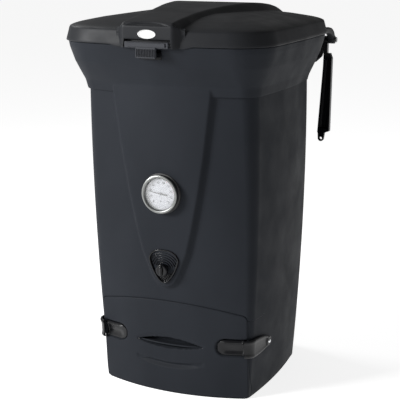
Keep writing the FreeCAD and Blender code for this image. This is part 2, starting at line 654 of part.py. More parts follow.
def badge(y, grow=0.0):
    oval = Part.Ellipse(Vector(0, 0, 0), 26.0 + grow, 11.5 + grow).toShape()
    face = Part.Face(Part.Wire([oval]))
    face.rotate(Vector(0, 0, 0), ALONG_X, 90)
    face.translate(Vector(0, y - 1.2, 1048.0))
    return face.extrude(Vector(0, 2.4, 0))


def lid_latch():
    """Spring lever across the block's lower edge, with a ribbed finger tab."""
    lever = rod(-64, LATCH_Y, LATCH_Z, 8.0, 128, ALONG_X)
    lever = lever.fuse(box(-64, 64, -350, LATCH_Y, 1011, LATCH_Z + 5))
    lever = lever.fuse(box(-29, 29, -354, -346, 986, 1014))
    lever = lever.fuse(box(-24, 24, -347, -340.6, 984, 988.5))
    for k in range(7):
        x = -24 + 8 * k
        lever = lever.fuse(box(x - 1.5, x + 1.5, -356, -353, 989, 1009))
    lever = lever.cut(rod(-70, LATCH_Y, LATCH_Z, 2.5 + PIN_FIT, 140, ALONG_X))
    spring_room = box(-20, 20, -345, LATCH_Y + 10, LATCH_Z - 9, LATCH_Z + 9)
    lever = lever.cut(spring_room)
    PARTS["lid_latch"] = lever
    PARTS["latch_pin"] = rod(-69.8, LATCH_Y, LATCH_Z, 2.5, 139.6, ALONG_X)
    spring = None
    for k in range(9):
        turn = Part.makeTorus(4.2, 0.8, Vector(-16 + 4 * k, LATCH_Y, LATCH_Z), ALONG_X)
        spring = turn if spring is None else spring.fuse(turn)
    spring = spring.fuse(rod(-16, LATCH_Y + 4.2, LATCH_Z, 0.5, 32, ALONG_X))
    PARTS["latch_spring"] = spring
    rim_y = collar_size(995.0)[1]
    keeper = box(-27, 27, -339.4, rim_y + 3, 989.2, 998.0)
    keeper = keeper.fuse(box(-33, 33, rim_y - 3.5, rim_y + 3, 980, 1008))
    PARTS["latch_keeper"] = keeper.cut(collar_solid(WAIST_Z, RIM_Z).common(box(-60, 60, -400, 0, 900, 1014)))


# ---- hinges and stay arms -----------------------------------------------------------

def hinges():
    points = [(240.0, 1006.0), (338.0, 1006.0), (HINGE_Y + 13, HINGE_Z + 4), (HINGE_Y + 13, 962.0),
              (338.0, 937.0), (280.0, 926.0), (240.0, 926.0)]
    bracket = prism(points, ALONG_X * 22.0, 240.0)
    bracket = bracket.cut(collar_solid(WAIST_Z, RIM_Z, -0.2))
    bracket = bracket.cut(body_solid(800.0, WAIST_Z + 1, -0.2))
    bracket = bracket.cut(rod(230, HINGE_Y, HINGE_Z, PIN_R, 60, ALONG_X))
    bracket = max(bracket.Solids, key=lambda solid: solid.Volume)
    pin = rod(236, HINGE_Y, HINGE_Z, PIN_R, 62, ALONG_X)
    pin = pin.fuse(rod(298, HINGE_Y, HINGE_Z, 8.0, 4, ALONG_X))
    clip = ring(236.5, HINGE_Y, HINGE_Z, 9.0, PIN_R, 2.0, ALONG_X)
    arm = stay_arm()
    for name, piece in (("hinge_bracket", bracket), ("hinge_pin", pin), ("hinge_clip", clip),
                        ("stay_arm", arm)):
        PARTS[name + "_right"] = piece
        PARTS[name + "_left"] = mirrored(piece)


def stay_arm():
    """Channel-shaped arm that hangs from the hinge pin, with an eye at its lower end."""
    y0, y1 = HINGE_Y - 7.0, HINGE_Y + 7.0
    eye = rod(263, HINGE_Y, HINGE_Z, 11.0, 12, ALONG_X)
    neck = box(263, 275, y0, y1, 934, HINGE_Z)
    blade = prism_xz([(263.5, 946.0), (284.0, 946.0), (290.0, 930.0), (287.0, 703.0), (272.0, 697.0),
                      (248.5, 697.0), (250.0, 720.0), (262.0, 900.0)], y0, y1)
    channel = prism_xz([(269.5, 925.0), (284.0, 925.0), (281.0, 711.0), (256.0, 711.0), (268.0, 900.0)],
                       y0 - 1, y0 + 10)
    tip = prism_xz([(249.0, 700.0), (272.0, 700.0), (269.0, ARM_END_Z), (250.0, ARM_END_Z)], y0 + 3, y1 - 3)
    tip = tip.fuse(rod(259.5, y0 + 3, ARM_END_Z, 9.5, y1 - y0 - 6, ALONG_Y))
    arm = eye.fuse(neck).fuse(blade).cut(channel).fuse(tip)
    arm = arm.cut(rod(255, HINGE_Y, HINGE_Z, PIN_R + PIN_FIT, 30, ALONG_X))
    return arm.cut(rod(259.5, y0 - 1, ARM_END_Z, 4.2, 30, ALONG_Y))


def prism_xz(points, y0, y1):
    return prism(points, ALONG_Y * (y1 - y0), y0)


def main():
    for make in (outer_shell, base_pan, wall_foam, inner_liner, hatch_frame, rim_frame, floor_grate,
                 drain, air_valve, thermometer, hatch, straps, lid, lid_latch, hinges):
        make()
    for name, shape in PARTS.items():
        solids = len(shape.Solids)
        print(f"{name:22s} solids {solids} valid {shape.isValid()} volume {shape.Volume / 1000:.1f} cm3")
        shape.exportStep(f"parts/{name}.step")


main()
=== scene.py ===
import json
import math

import bmesh
import bpy
import numpy as np
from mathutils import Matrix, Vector


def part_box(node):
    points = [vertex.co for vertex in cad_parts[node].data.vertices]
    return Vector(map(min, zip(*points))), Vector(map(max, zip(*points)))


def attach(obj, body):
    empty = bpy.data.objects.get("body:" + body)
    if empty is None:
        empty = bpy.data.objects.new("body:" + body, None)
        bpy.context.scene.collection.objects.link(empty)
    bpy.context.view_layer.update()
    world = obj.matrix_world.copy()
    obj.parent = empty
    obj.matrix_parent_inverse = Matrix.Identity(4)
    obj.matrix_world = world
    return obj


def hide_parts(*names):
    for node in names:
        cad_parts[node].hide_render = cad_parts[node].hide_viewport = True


# Visual model of an insulated garden composter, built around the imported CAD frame.
# Metres. X to the bin's right, Y to its back, Z up; the front faces -Y.

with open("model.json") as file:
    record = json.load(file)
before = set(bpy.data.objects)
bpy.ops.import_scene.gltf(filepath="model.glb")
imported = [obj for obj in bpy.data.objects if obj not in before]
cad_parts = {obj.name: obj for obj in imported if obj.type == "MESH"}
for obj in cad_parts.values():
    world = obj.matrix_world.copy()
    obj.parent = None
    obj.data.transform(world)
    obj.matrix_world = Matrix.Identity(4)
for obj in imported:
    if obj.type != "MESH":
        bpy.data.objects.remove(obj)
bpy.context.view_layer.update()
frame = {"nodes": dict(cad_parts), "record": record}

# ---- driving dimensions, as in the CAD model ----------------------------------------

MM = 0.001
WAIST_Z = 0.879                 # lower edge of the collar
RIM_Z = 1.0155                  # top edge of the collar
FRONT_WALL_Y = -0.1             # section points nearer the front than this are the front wall
# Sections: half width, front, rear, front bow, front corner radius, rear corner radius, side bow
FOOT = np.array((227.4, -218.0, 302.0, 45.0, 22.0, 109.0, 10.0)) * MM
WAIST = np.array((256.5, -263.0, 302.0, 45.0, 52.0, 109.0, 10.0)) * MM
COLLAR_FOOT = np.array((261.0, -269.0, 303.0, 45.0, 56.0, 108.0, 9.0)) * MM
RIM = np.array((307.6, -328.5, 299.6, 41.0, 125.0, 98.0, 4.0)) * MM
BELLY = 0.011                   # how far the sides swell at half height
FLARE_Z = np.array((879.0, 905.0, 935.0, 960.0, 985.0, 1000.0, 1015.5)) * MM
FLARE = np.array((0.0, 0.13, 0.43, 0.67, 0.84, 0.94, 1.0))

HATCH_W = 0.230                 # half width of the hatch
CUT_W = 0.2308                  # half width of the opening cut for it
CUT_Y = -0.1515                 # how far back that opening reaches
HATCH_TOP = 0.284
HATCH_KNEE = 0.258              # where the arched top meets the side edges
KNEE_R = 0.018

TONGUE_PROUD = 0.013            # lift of the raised front panel
TONGUE_SLOPE = 0.014            # width of its sloping border
TONGUE = np.array(((160, 930), (157, 880), (146, 800), (133, 705), (116, 605), (95, 500), (78, 430),
                   (62, 390), (50, 360), (38, 339), (25, 328), (12, 322), (0, 320))) * MM

THERMO_Z = 0.605
VENT_Z = 0.384
BLOCK_Y = -0.345                # face of the lid's front block
HINGE_Y = 0.352
HINGE_Z = 0.988


# ---- surfaces -----------------------------------------------------------------------

def smooth(t):
    """Soft step from 0 to 1."""
    t = np.clip(t, 0.0, 1.0)
    return t * t * (3.0 - 2.0 * t)


def body_size(z):
    """Section of the body below the collar."""
    t = z / WAIST_Z
    size = FOOT + (WAIST - FOOT) * t
    size[0] += 4.0 * BELLY * t * (1.0 - t)
    return size


def collar_size(z):
    """Section of the flared collar."""
    return COLLAR_FOOT + (RIM - COLLAR_FOOT) * np.interp(z, FLARE_Z, FLARE)


def half_outline(size, inset=0.0):
    """Right half of a section from front centre to rear centre, and where its arcs end."""
    half, front, rear, bow, r_front, r_rear, side = size
    radius = (half ** 2 + bow ** 2) / (2.0 * bow)
    centre = front + radius
    radius, half, rear = radius - inset, half - inset, rear - inset
    r_front, r_rear = max(r_front - inset, 0.004), max(r_rear - inset, 0.01)
    corner_x = half - r_front
    corner_y = centre - math.sqrt((radius - r_front) ** 2 - corner_x ** 2)
    lean = math.asin(corner_x / (radius - r_front))
    sweep = np.linspace(0.0, lean, 60)
    front_arc = np.stack((radius * np.sin(sweep), centre - radius * np.cos(sweep)), 1)
    sweep = np.linspace(lean, math.pi / 2, 40)
    corner = np.stack((corner_x + r_front * np.sin(sweep), corner_y - r_front * np.cos(sweep)), 1)
    rear_y = rear - r_rear
    t = np.linspace(0.0, 1.0, 40)
    flank = np.stack((half + side * 4.0 * t * (1.0 - t), corner_y + (rear_y - corner_y) * t), 1)
    sweep = np.linspace(0.0, math.pi / 2, 30)
    rear_corner = np.stack((half - r_rear + r_rear * np.cos(sweep), rear_y + r_rear * np.sin(sweep)), 1)
    back = np.stack(((half - r_rear) * (1.0 - t), np.full(40, rear)), 1)
    runs = [front_arc, corner[1:], flank[1:], rear_corner[1:], back[1:]]
    line = np.concatenate(runs)
    length = np.concatenate(([0.0], np.cumsum(np.linalg.norm(np.diff(line, axis=0), axis=1))))
    ends = np.cumsum([len(run) for run in runs]) - 1
    return line, length, length[ends]


def at_length(line, length, s):
    """Points at distances s along a section."""
    return np.stack((np.interp(s, length, line[:, 0]), np.interp(s, length, line[:, 1])), -1)


FRONT_COLS = 77                 # mesh columns from the middle to the hatch's side edge
SIDE_COLS = (12, 22, 12, 14)    # front corner, flank, rear corner, back


def columns(size, inset=0.0):
    """Column points of the right half: even in X across the hatch's width, then by arcs."""
    line, length, ends = half_outline(size, inset)
    widest = int(np.argmax(line[:, 0]))
    wide = min(CUT_W, line[widest, 0])
    cut = np.interp(wide, line[:widest + 1, 0], length[:widest + 1])
    ahead = line[:, 1] < 0.0
    cut = min(cut, np.interp(CUT_Y, line[ahead, 1], length[ahead]))
    x = np.linspace(0.0, np.interp(cut, length, line[:, 0]), FRONT_COLS + 1)
    front = np.interp(x, line[:widest + 1, 0], length[:widest + 1])
    stops = [cut, max(ends[1], cut + 0.002), ends[2], ends[3], ends[4]]
    s = [front]
    for a, b, n in zip(stops, stops[1:], SIDE_COLS):
        s.append(np.linspace(a, b, n + 1)[1:])
    return at_length(line, length, np.concatenate(s))


def ring_points(size, inset=0.0):
    """Whole section: right half, then the left half back to the front."""
    right = columns(size, inset)
    left = right[-2:0:-1] * (-1.0, 1.0)
    return np.concatenate((right, left))


RING = 2 * (FRONT_COLS + sum(SIDE_COLS))


def front_y(x, z, inset=0.0):
    """Where the bowed front wall lies at a place, inset along its radius."""
    t = z / WAIST_Z
    half = FOOT[0] + (WAIST[0] - FOOT[0]) * t + 4.0 * BELLY * t * (1.0 - t)
    front = FOOT[1] + (WAIST[1] - FOOT[1]) * t
    bow = FOOT[3]
    radius = (half ** 2 + bow ** 2) / (2.0 * bow)
    return front + radius - np.sqrt((radius - inset) ** 2 - x ** 2)


def outline_distance(x, z, outline):
    """Distance inside (+) or outside (-) a shape symmetric about X = 0, given its right side."""
    x = np.abs(x)
    best = np.full(np.shape(x), 1e9)
    for (x0, z0), (x1, z1) in zip(outline, outline[1:]):
        dx, dz = x1 - x0, z1 - z0
        t = np.clip(((x - x0) * dx + (z - z0) * dz) / (dx * dx + dz * dz), 0.0, 1.0)
        best = np.minimum(best, np.hypot(x - x0 - t * dx, z - z0 - t * dz))
    order = np.argsort(outline[:, 1])
    inside = x < np.interp(z, outline[order, 1], outline[order, 0], left=-1.0)
    return np.where(inside, best, -best)


def tongue_lift(x, z):
    """How far the front panel stands proud of the wall at a place."""
    return TONGUE_PROUD * smooth(outline_distance(x, z, TONGUE) / TONGUE_SLOPE)


def arch_z(x, grow=0.0):
    """Height of the hatch's top edge at x."""
    half, knee, top = HATCH_W + grow, HATCH_KNEE + grow, HATCH_TOP + grow
    span = half - KNEE_R
    rise = top - knee
    radius = (span ** 2 + rise ** 2) / (2.0 * rise)
    x = np.abs(x)
    bow = top - radius + np.sqrt(np.maximum(radius ** 2 - np.minimum(x, span) ** 2, 0.0))
    over = np.clip((x - span) / KNEE_R, 0.0, 1.0)
    return bow - KNEE_R * (1.0 - np.sqrt(1.0 - over ** 2))


# ---- mesh building ------------------------------------------------------------------

WELD = 2e-5                     # points closer than this are one


def place(name, mesh, material, body, replaced=()):
    """Puts a mesh in the scene as a piece that rides a body and stands for CAD nodes."""
    obj = bpy.data.objects.new(name, mesh)
    bpy.context.scene.collection.objects.link(obj)
    mesh.materials.append(material)
    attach(obj, body)
    if replaced:
        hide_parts(*replaced)
    return obj


def mesh_object(name, verts, faces, material, body, replaced=()):
    mesh = bpy.data.meshes.new(name)
    bm = bmesh.new()
    made = [bm.verts.new(v) for v in verts]
    for face in faces:
        corners = [made[i] for i in face]
        if len(set(corners)) == len(corners):
            bm.faces.new(corners)
    bmesh.ops.remove_doubles(bm, verts=bm.verts, dist=WELD)
    bmesh.ops.dissolve_degenerate(bm, dist=1e-6, edges=bm.edges)
    bmesh.ops.recalc_face_normals(bm, faces=bm.faces)
    bm.to_mesh(mesh)
    bm.free()
    mesh.shade_smooth()
    return place(name, mesh, material, body, replaced)


def grid_faces(rows, cols, start=0, closed=False):
    """Quads between neighbouring rows of points; closed joins the last column to the first."""
    faces = []
    for r in range(rows - 1):
        for c in range(cols if closed else cols - 1):
            d = (c + 1) % cols
            a = start + r * cols
            faces.append((a + c, a + d, a + cols + d, a + cols + c))
    return faces


class Patches:
    """Collects point grids into one mesh."""

    def __init__(self):
        self.verts = []
        self.faces = []

    def add(self, points, closed=False):
        points = np.asarray(points, float)
        rows, cols = points.shape[:2]
        self.faces += grid_faces(rows, cols, len(self.verts), closed)
        self.verts += [tuple(p) for p in points.reshape(-1, 3)]

    def fan(self, loop):
        """Closes a loop with one face."""
        start = len(self.verts)
        self.verts += [tuple(p) for p in loop]
        self.faces.append(tuple(range(start, start + len(loop))))

    def build(self, name, material, body, node_slot, replaced=(), sharp=35.0):
        obj = mesh_object(name, self.verts, self.faces, material, body, replaced)
        smooth_by_angle(obj, sharp)


def smooth_by_angle(obj, degrees):
    """Edges that bend by more than this stay crisp."""
    bm = bmesh.new()
    bm.from_mesh(obj.data)
    limit = math.radians(degrees)
    for edge in bm.edges:
        edge.smooth = len(edge.link_faces) != 2 or edge.calc_face_angle(0.0) < limit
    bm.to_mesh(obj.data)
    bm.free()


def lathe(profile, segments, centre, axis="Y"):
    """Surface of revolution from (radius, along) pairs about an axis through centre."""
    turn = np.linspace(0.0, 2.0 * math.pi, segments, endpoint=False)
    u, v, w = {"Y": (0, 2, 1), "X": (1, 2, 0)}[axis]
    rows = []
    for radius, along in profile:
        ring = np.zeros((segments, 3))
        ring[:, u] = radius * np.cos(turn)
        ring[:, v] = radius * np.sin(turn)
        ring[:, w] = along
        rows.append(ring + np.asarray(centre))
    return np.array(rows)


def block(bm, low, high):
    """Adds an axis-aligned box to bm."""
    low, high = Vector(low), Vector(high)
    for v in bmesh.ops.create_cube(bm, size=1.0)["verts"]:
        v.co = Vector([low[i] + (v.co[i] + 0.5) * (high[i] - low[i]) for i in range(3)])


def bevelled(name, boxes, material, body, replaced, radius):
    """Rounded boxes joined into one moulded piece."""
    mesh = bpy.data.meshes.new(name)
    bm = bmesh.new()
    for low, high in boxes:
        block(bm, low, high)
    bmesh.ops.bevel(bm, geom=bm.edges[:], offset=radius, segments=3, affect="EDGES", clamp_overlap=True)
    bmesh.ops.recalc_face_normals(bm, faces=bm.faces)
    bm.to_mesh(mesh)
    bm.free()
    mesh.shade_smooth()
    smooth_by_angle(place(name, mesh, material, body, replaced), 40.0)


def hand_name(side):
    return "right" if side > 0 else "left"


# ---- materials ----------------------------------------------------------------------

class Surface:
    """A material's Principled shader and the procedural nodes that feed it."""

    def __init__(self, name):
        self.material = bpy.data.materials.new(name)
        self.material.use_nodes = True
        self.tree = self.material.node_tree
        self.shader = self.tree.nodes["Principled BSDF"]
        self.coords = self.node("ShaderNodeTexCoord").outputs["Object"]

    def feed(self, node, inputs):
        """Gives each named input a value, or links it to another node's output."""
        for name, value in inputs.items():
            if isinstance(value, bpy.types.NodeSocket):
                self.tree.links.new(value, node.inputs[name])
            else:
                node.inputs[name].default_value = value
        return node

    def node(self, kind, inputs=None):
        return self.feed(self.tree.nodes.new(kind), inputs or {})

    def noise(self, scale, detail=4.0, stretch=(1, 1, 1)):
        mapping = self.node("ShaderNodeMapping", {"Scale": stretch, "Vector": self.coords})
        inputs = {"Scale": scale, "Detail": detail, "Vector": mapping.outputs["Vector"]}
        return self.node("ShaderNodeTexNoise", inputs).outputs["Fac"]

    def cells(self, scale):
        inputs = {"Scale": scale, "Vector": self.coords}
        return self.node("ShaderNodeTexVoronoi", inputs).outputs["Distance"]

    def remap(self, value, low, high, from_low=0.3, from_high=0.7):
        inputs = {"Value": value, "From Min": from_low, "From Max": from_high, "To Min": low, "To Max": high}
        return self.node("ShaderNodeMapRange", inputs).outputs["Result"]

    def mix(self, factor, first, second):
        node = self.tree.nodes.new("ShaderNodeMix")
        node.data_type = "RGBA"
        return self.feed(node, {"Factor": factor, "A": first, "B": second}).outputs["Result"]

    def bump(self, height, distance, strength, under=None):
        inputs = {"Distance": distance, "Strength": strength, "Height": height}
        if under is not None:
            inputs["Normal"] = under
        return self.node("ShaderNodeBump", inputs).outputs["Normal"]

    def done(self, inputs):
        self.feed(self.shader, inputs)
        return self.material


def shade(colour, gain, lift=0.0):
    return (*(c * gain + lift for c in colour), 1.0)


def moulded(name, colour, rough, spread, grain, grain_scale=950.0, specular=0.5, dust=0.0):
    """Moulded plastic or rubber: cloudy colour, leathery grain, uneven gloss, dust on top faces."""
    s = Surface(name)
    cloud = s.remap(s.noise(5.0, 5.0, (1, 1, 0.45)), 0.0, 1.0)
    paint = s.mix(cloud, shade(colour, 1.0 - spread), shade(colour, 1.0 + spread, 0.0008))
    if dust:
        normal = s.node("ShaderNodeNewGeometry").outputs["Normal"]
        up = s.node("ShaderNodeSeparateXYZ", {"Vector": normal}).outputs["Z"]
        paint = s.mix(s.remap(up, 0.0, dust, 0.2, 1.0), paint, (0.26, 0.25, 0.235, 1.0))
    fine = s.bump(s.cells(grain_scale), 0.00025, grain * 0.35)
    return s.done({"Base Color": paint, "Specular IOR Level": specular,
                   "Roughness": s.remap(s.noise(14.0, 6.0), rough - 0.06, rough + 0.08),
                   "Normal": s.bump(s.noise(9.0, 3.0), 0.002, 0.10, fine)})


def steel(name, colour, rough, turned):
    """Stainless steel with tool marks, closely spaced along Y where it is turned and X if not."""
    s = Surface(name)
    marks = s.noise(40.0, 3.0, (1, 60, 1) if turned else (60, 1, 1))
    paint = s.mix(s.remap(marks, 0.0, 1.0), shade(colour, 0.86), shade(colour, 1.0))
    return s.done({"Base Color": paint, "Metallic": 1.0, "Normal": s.bump(marks, 0.0002, 0.25),
                   "Roughness": s.remap(marks, rough - 0.05, rough + 0.1)})


def foam(name, colour):
    """Moulded bead foam: rounded cells pressed together."""
    s = Surface(name)
    beads = s.cells(260.0)
    paint = s.mix(s.remap(beads, 0.0, 1.0, 0.0, 0.6), shade(colour, 1.0), shade(colour, 0.72))
    return s.done({"Base Color": paint, "Roughness": 0.8, "Normal": s.bump(beads, 0.0008, 0.5)})


def enamel(name, colour, rough=0.35):
    """Smooth paint or print with a faint cloud in it."""
    s = Surface(name)
    cloud = s.noise(60.0, 4.0)
    paint = s.mix(s.remap(cloud, 0.0, 1.0), shade(colour, 0.93), shade(colour, 1.0))
    return s.done({"Base Color": paint, "Roughness": s.remap(cloud, rough - 0.05, rough + 0.05),
                   "Normal": s.bump(s.noise(900.0), 0.0001, 0.1)})


def lens_glass(name):
    """Thin clear lens, slightly smeared."""
    s = Surface(name)
    return s.done({"Base Color": (0.96, 0.98, 0.98, 1.0), "Alpha": 0.12, "Specular IOR Level": 0.35,
                   "Roughness": s.remap(s.noise(30.0, 5.0), 0.05, 0.16)})


SHELL = moulded("moulded_shell", (0.0145, 0.0165, 0.0206), 0.55, 0.12, 0.40, specular=0.06, dust=0.012)
LID = moulded("moulded_lid", (0.0150, 0.0159, 0.0180), 0.45, 0.12, 0.35, specular=0.10, dust=0.012)
TRIM = moulded("black_trim", (0.0030, 0.0032, 0.0042), 0.17, 0.2, 0.12, specular=0.26)
LATCH = moulded("latch_plastic", (0.030, 0.032, 0.038), 0.38, 0.12, 0.3, specular=0.2)
RUBBER = moulded("strap_rubber", (0.0030, 0.0032, 0.0042), 0.30, 0.25, 0.3, 1400.0, specular=0.28)
SEAL = moulded("seal_rubber", (0.010, 0.010, 0.011), 0.55, 0.2, 0.4)
LINER = moulded("liner_plastic", (0.055, 0.057, 0.062), 0.42, 0.15, 0.35)
FOAM = foam("bead_foam", (0.74, 0.74, 0.71))
# The turned steel, dial and badge are darker than real ones, so that this light doesn't burn them out.
STEEL = steel("turned_steel", (0.21, 0.215, 0.21), 0.32, True)
BRIGHT = steel("bright_steel", (0.78, 0.79, 0.80), 0.16, False)
DIAL = enamel("dial_enamel", (0.36, 0.365, 0.40))
INK = enamel("dial_ink", (0.03, 0.03, 0.035))
RED_INK = enamel("dial_red", (0.45, 0.04, 0.03))
BADGE = enamel("badge_white", (0.60, 0.60, 0.60), 0.22)
GLASS = lens_glass("gauge_glass")
BY_SLOT = {"shell_plastic": SHELL, "trim_plastic": TRIM, "liner_plastic": LINER, "insulation_foam": FOAM,
           "strap_rubber": RUBBER, "seal_rubber": SEAL, "stainless_steel": STEEL, "gauge_glass": GLASS,
           "gauge_dial": DIAL, "gauge_pointer": INK, "badge_plate": BADGE}


def dress_frame():
    """Every CAD node takes the procedural material of its slot."""
    for part in frame["record"]["subparts"]:
        node = frame["nodes"][part["node"]]
        node.data.materials.clear()
        node.data.materials.append(BY_SLOT[part["material_slot"]])


# ---- outer shell --------------------------------------------------------------------

def lifted(points):
    """Raises the front panel's area by its lift."""
    points = points.copy()
    lift = tongue_lift(points[..., 0], points[..., 2])
    points[..., 1] -= np.where(points[..., 1] < FRONT_WALL_Y, lift, 0.0)
    return points


def ring_row(size, z, inset=0.0):
    """A whole section's points at one height."""
    flat = ring_points(size, inset)
    return np.column_stack((flat, np.full(len(flat), z)))


def outer_shell():
    """Body wall with the hatch's opening cut in its front, and the collar above it."""
    patches = Patches()
    knee = HATCH_KNEE - KNEE_R
    cols = slice(FRONT_COLS, RING - FRONT_COLS + 1)
    low_rows = np.concatenate(([0.0018, 0.004], np.linspace(0.010, knee, 26)))
    low = np.array([ring_row(body_size(z), z)[cols] for z in low_rows])
    low[0, :, :2] *= 0.994
    patches.add(low)
    for end, across in ((0, -0.010), (-1, 0.010)):
        edge = low[:, end]
        patches.add(np.stack((edge, edge + np.array((across, 0.004, 0.0))), 1))
    heights = np.linspace(0.2, WAIST_Z, 60)
    table = np.array([ring_points(body_size(z)) for z in heights])
    flat = ring_points(body_size(0.26))
    base = np.where(flat[:, 1] < FRONT_WALL_Y, arch_z(flat[:, 0], 0.0008), knee)
    base[cols] = knee
    rows = []
    for t in np.concatenate(([0.0, 0.004], np.linspace(0.012, 1.0, 130))):
        z = base + t * (WAIST_Z - base)
        xy = np.stack([[np.interp(z[k], heights, table[:, k, i]) for k in range(RING)]
                       for i in (0, 1)], 1)
        rows.append(np.column_stack((xy, z)))
    rows = lifted(np.array(rows))
    rows[0, cols] = low[-1]
    rows[0, :, 1] += np.where(rows[0, :, 1] < FRONT_WALL_Y, 0.0012, 0.0)
    patches.add(rows, closed=True)
    front = np.concatenate((np.arange(RING - FRONT_COLS, RING), np.arange(FRONT_COLS + 1)))
    lip = rows[0, front]
    patches.add(np.array([lip, lip + (0.0, 0.014, 0.0)]))
    patches.add(collar(rows[-1]), closed=True)
    patches.build("outer_shell_skin", SHELL, "cabinet", "shell_plastic", ["outer_shell"], 50.0)


STEP_INSET = (0.0022, 0.0006)   # share by which the step's lowest rows draw in
RIM_RETURN = ((0.0012, 0.0004), (0.0002, 0.0014), (0.0, 0.003), (0.0, 0.008), (0.006, 0.0085))


def collar(waist_row):
    """Flared collar with its step, fading out towards the back, and the rim's inner return."""
    rows = [waist_row]
    under = ring_row(collar_size(WAIST_Z), WAIST_Z + 0.0004)
    fade = 1.0 - smooth((under[:, 1] - 0.02) / 0.16)
    heights = np.concatenate(([0.0004, 0.0020, 0.0042], np.linspace(0.008, RIM_Z - WAIST_Z - 0.003, 40)))
    for k, rise in enumerate(heights):
        z = WAIST_Z + rise
        row = ring_row(collar_size(z), z)
        settle = smooth(rise / 0.03)
        keep = (fade + (1.0 - fade) * (0.45 + 0.55 * settle))[:, None]
        row[:, :2] = waist_row[:, :2] * (1.0 - keep) + row[:, :2] * keep
        if k < len(STEP_INSET):
            row[:, :2] *= 1.0 - STEP_INSET[k] * fade[:, None]
        raised = ring_row(body_size(min(z, 0.93)), z)
        panel = raised[:, 1] - tongue_lift(raised[:, 0], np.full(RING, z))
        on_panel = (np.abs(row[:, 0]) < 0.17) & (row[:, 1] < 0)
        on_panel &= tongue_lift(row[:, 0], row[:, 2]) > 0.0005
        row[:, 1] = np.where(on_panel, np.minimum(row[:, 1], panel), row[:, 1])
        rows.append(row)
    for drop, inset in RIM_RETURN:
        rows.append(ring_row(RIM, RIM_Z - drop, inset))
    return np.array(rows)


# ---- hatch --------------------------------------------------------------------------

def dish(distance, depth, slope):
    """Depth of a recess with soft walls; distance is measured in from its edge."""
    return depth * smooth(distance / slope)


def slot_distance(x, z):
    """Inside distance of the strap recess, whose outer end is open."""
    z0, z1, start = 0.129, 0.187, 0.139
    radius = 0.5 * (z1 - z0)
    mid = 0.5 * (z0 + z1)
    past_round_end = np.abs(x) - start - radius
    return radius - np.hypot(np.minimum(past_round_end, 0.0), z - mid)


def grip_distance(x, z, tips, up, down, half):
    """Inside distance of a lens with its own rise above and below the line of its tips."""
    bow = np.maximum(1.0 - (x / half) ** 2, 0.0)
    edge = np.where(z > tips, up, down) * bow
    return np.where(np.abs(x) < half, edge - np.abs(z - tips), -1.0)


GROOVE_W = 0.108                # half width of the groove under the grip


def hatch_depth(x, z):
    """Depth of the face's recesses: grip pocket, its soft brow, the groove and the strap slots."""
    grip = dish(grip_distance(x, z, 0.1505, 0.0215, 0.0120, 0.106), 0.024, 0.0050)
    brow = dish(grip_distance(x, z, 0.1530, 0.0330, 0.0165, 0.122), 0.0030, 0.0120)
    below = 0.0965 + 0.0125 * (x / GROOVE_W) ** 2 - z
    taper = np.maximum(1.0 - (x / GROOVE_W) ** 2, 0.0) ** 0.6
    groove = 0.0095 * taper * smooth(below / 0.0075) * (1.0 - smooth((below - 0.0080) / 0.0140))
    channel = grip_distance(x, z, 0.090, 0.011, 0.011, 0.106)
    groove = np.minimum(groove, 0.0030 + 0.0065 * smooth((channel - 0.0005) / 0.0030))
    recess = dish(slot_distance(x, z), 0.0105, 0.006)
    return np.maximum.reduce((grip, brow, groove, recess))


def hatch():
    """Hatch face with its recesses, rounded rim and returns."""
    patches = Patches()
    x = np.linspace(-HATCH_W, HATCH_W, 211)
    t = np.concatenate(([0.0, 0.005], np.linspace(0.015, 0.985, 118), [0.994, 1.0]))
    X, T = np.meshgrid(x, t)
    low, proud, rim_r = 0.003, 0.0015, 0.0022
    Z = low + T * (arch_z(X) - low)
    Y = front_y(X, Z) - proud + hatch_depth(X, Z)
    foot_half = np.interp(Z, (0.0, 0.05, 0.3), (0.2281, 0.2310, 0.24))
    rim = np.minimum.reduce((HATCH_W - np.abs(X), arch_z(X) - Z, Z - low + 0.001))
    over = np.clip(1.0 - rim / rim_r, 0.0, 1.0)
    Y += rim_r * (1.0 - np.sqrt(1.0 - over ** 2))
    face = np.stack((X * np.minimum(foot_half / HATCH_W, 1.0), Y, Z), -1)
    patches.add(face)
    for side in (0, -1):
        column = face[:, side]
        back = np.maximum(front_y(column[:, 0], column[:, 2], 0.0184), CUT_Y - 0.001)
        rows = [column]
        for reach in (0.35, 1.0):
            moved = column.copy()
            moved[:, 1] += (back - column[:, 1]) * reach
            rows.append(moved)
        patches.add(np.array(rows))
    for row, depth in ((face[-1], 0.012), (face[0], 0.008)):
        patches.add(np.array([row, row + (0.0, depth, 0.0)]))
    patches.build("hatch_skin", SHELL, "hatch", "shell_plastic", ["hatch_shell"], 55.0)
    grip_fin()


def grip_fin():
    """Thin finger bar inside the grip pocket."""
    z0, half = 0.1500, 0.100
    x = np.linspace(-half, half, 81)
    reach = np.sqrt(np.maximum(1.0 - (x / half) ** 2, 0.0))
    front = front_y(x, z0) + 0.0004 + 0.009 * (1.0 - reach)
    back = front_y(x, z0) + 0.0245
    profile = [(1.0, -0.0014), (0.15, -0.0016), (0.03, -0.0020), (0.0, -0.0010),
               (0.0, 0.0010), (0.03, 0.0020), (0.15, 0.0016), (1.0, 0.0014)]
    rows = []
    for depth, dz in profile:
        y = front + (back - front) * depth
        rows.append(np.column_stack((x, y, np.full(len(x), z0 + dz))))
    patches = Patches()
    patches.add(np.array(rows))
    patches.build("grip_fin", SHELL, "hatch", "shell_plastic", (), 60.0)


# ---- straps -------------------------------------------------------------------------

PAD_Z = (0.131, 0.184)          # lower and upper edge of the pads
PAD_X = (0.1425, 0.2225)        # their round inner end and their outer end
PIVOT_X = 0.2245                # where a strap leaves its pad
EYE = np.array((-0.080, 0.150))  # Y and Z of the strap's eye
EYE_R = 0.0145
TIP_START = 0.88                # share of the strap's length where its round tip starts


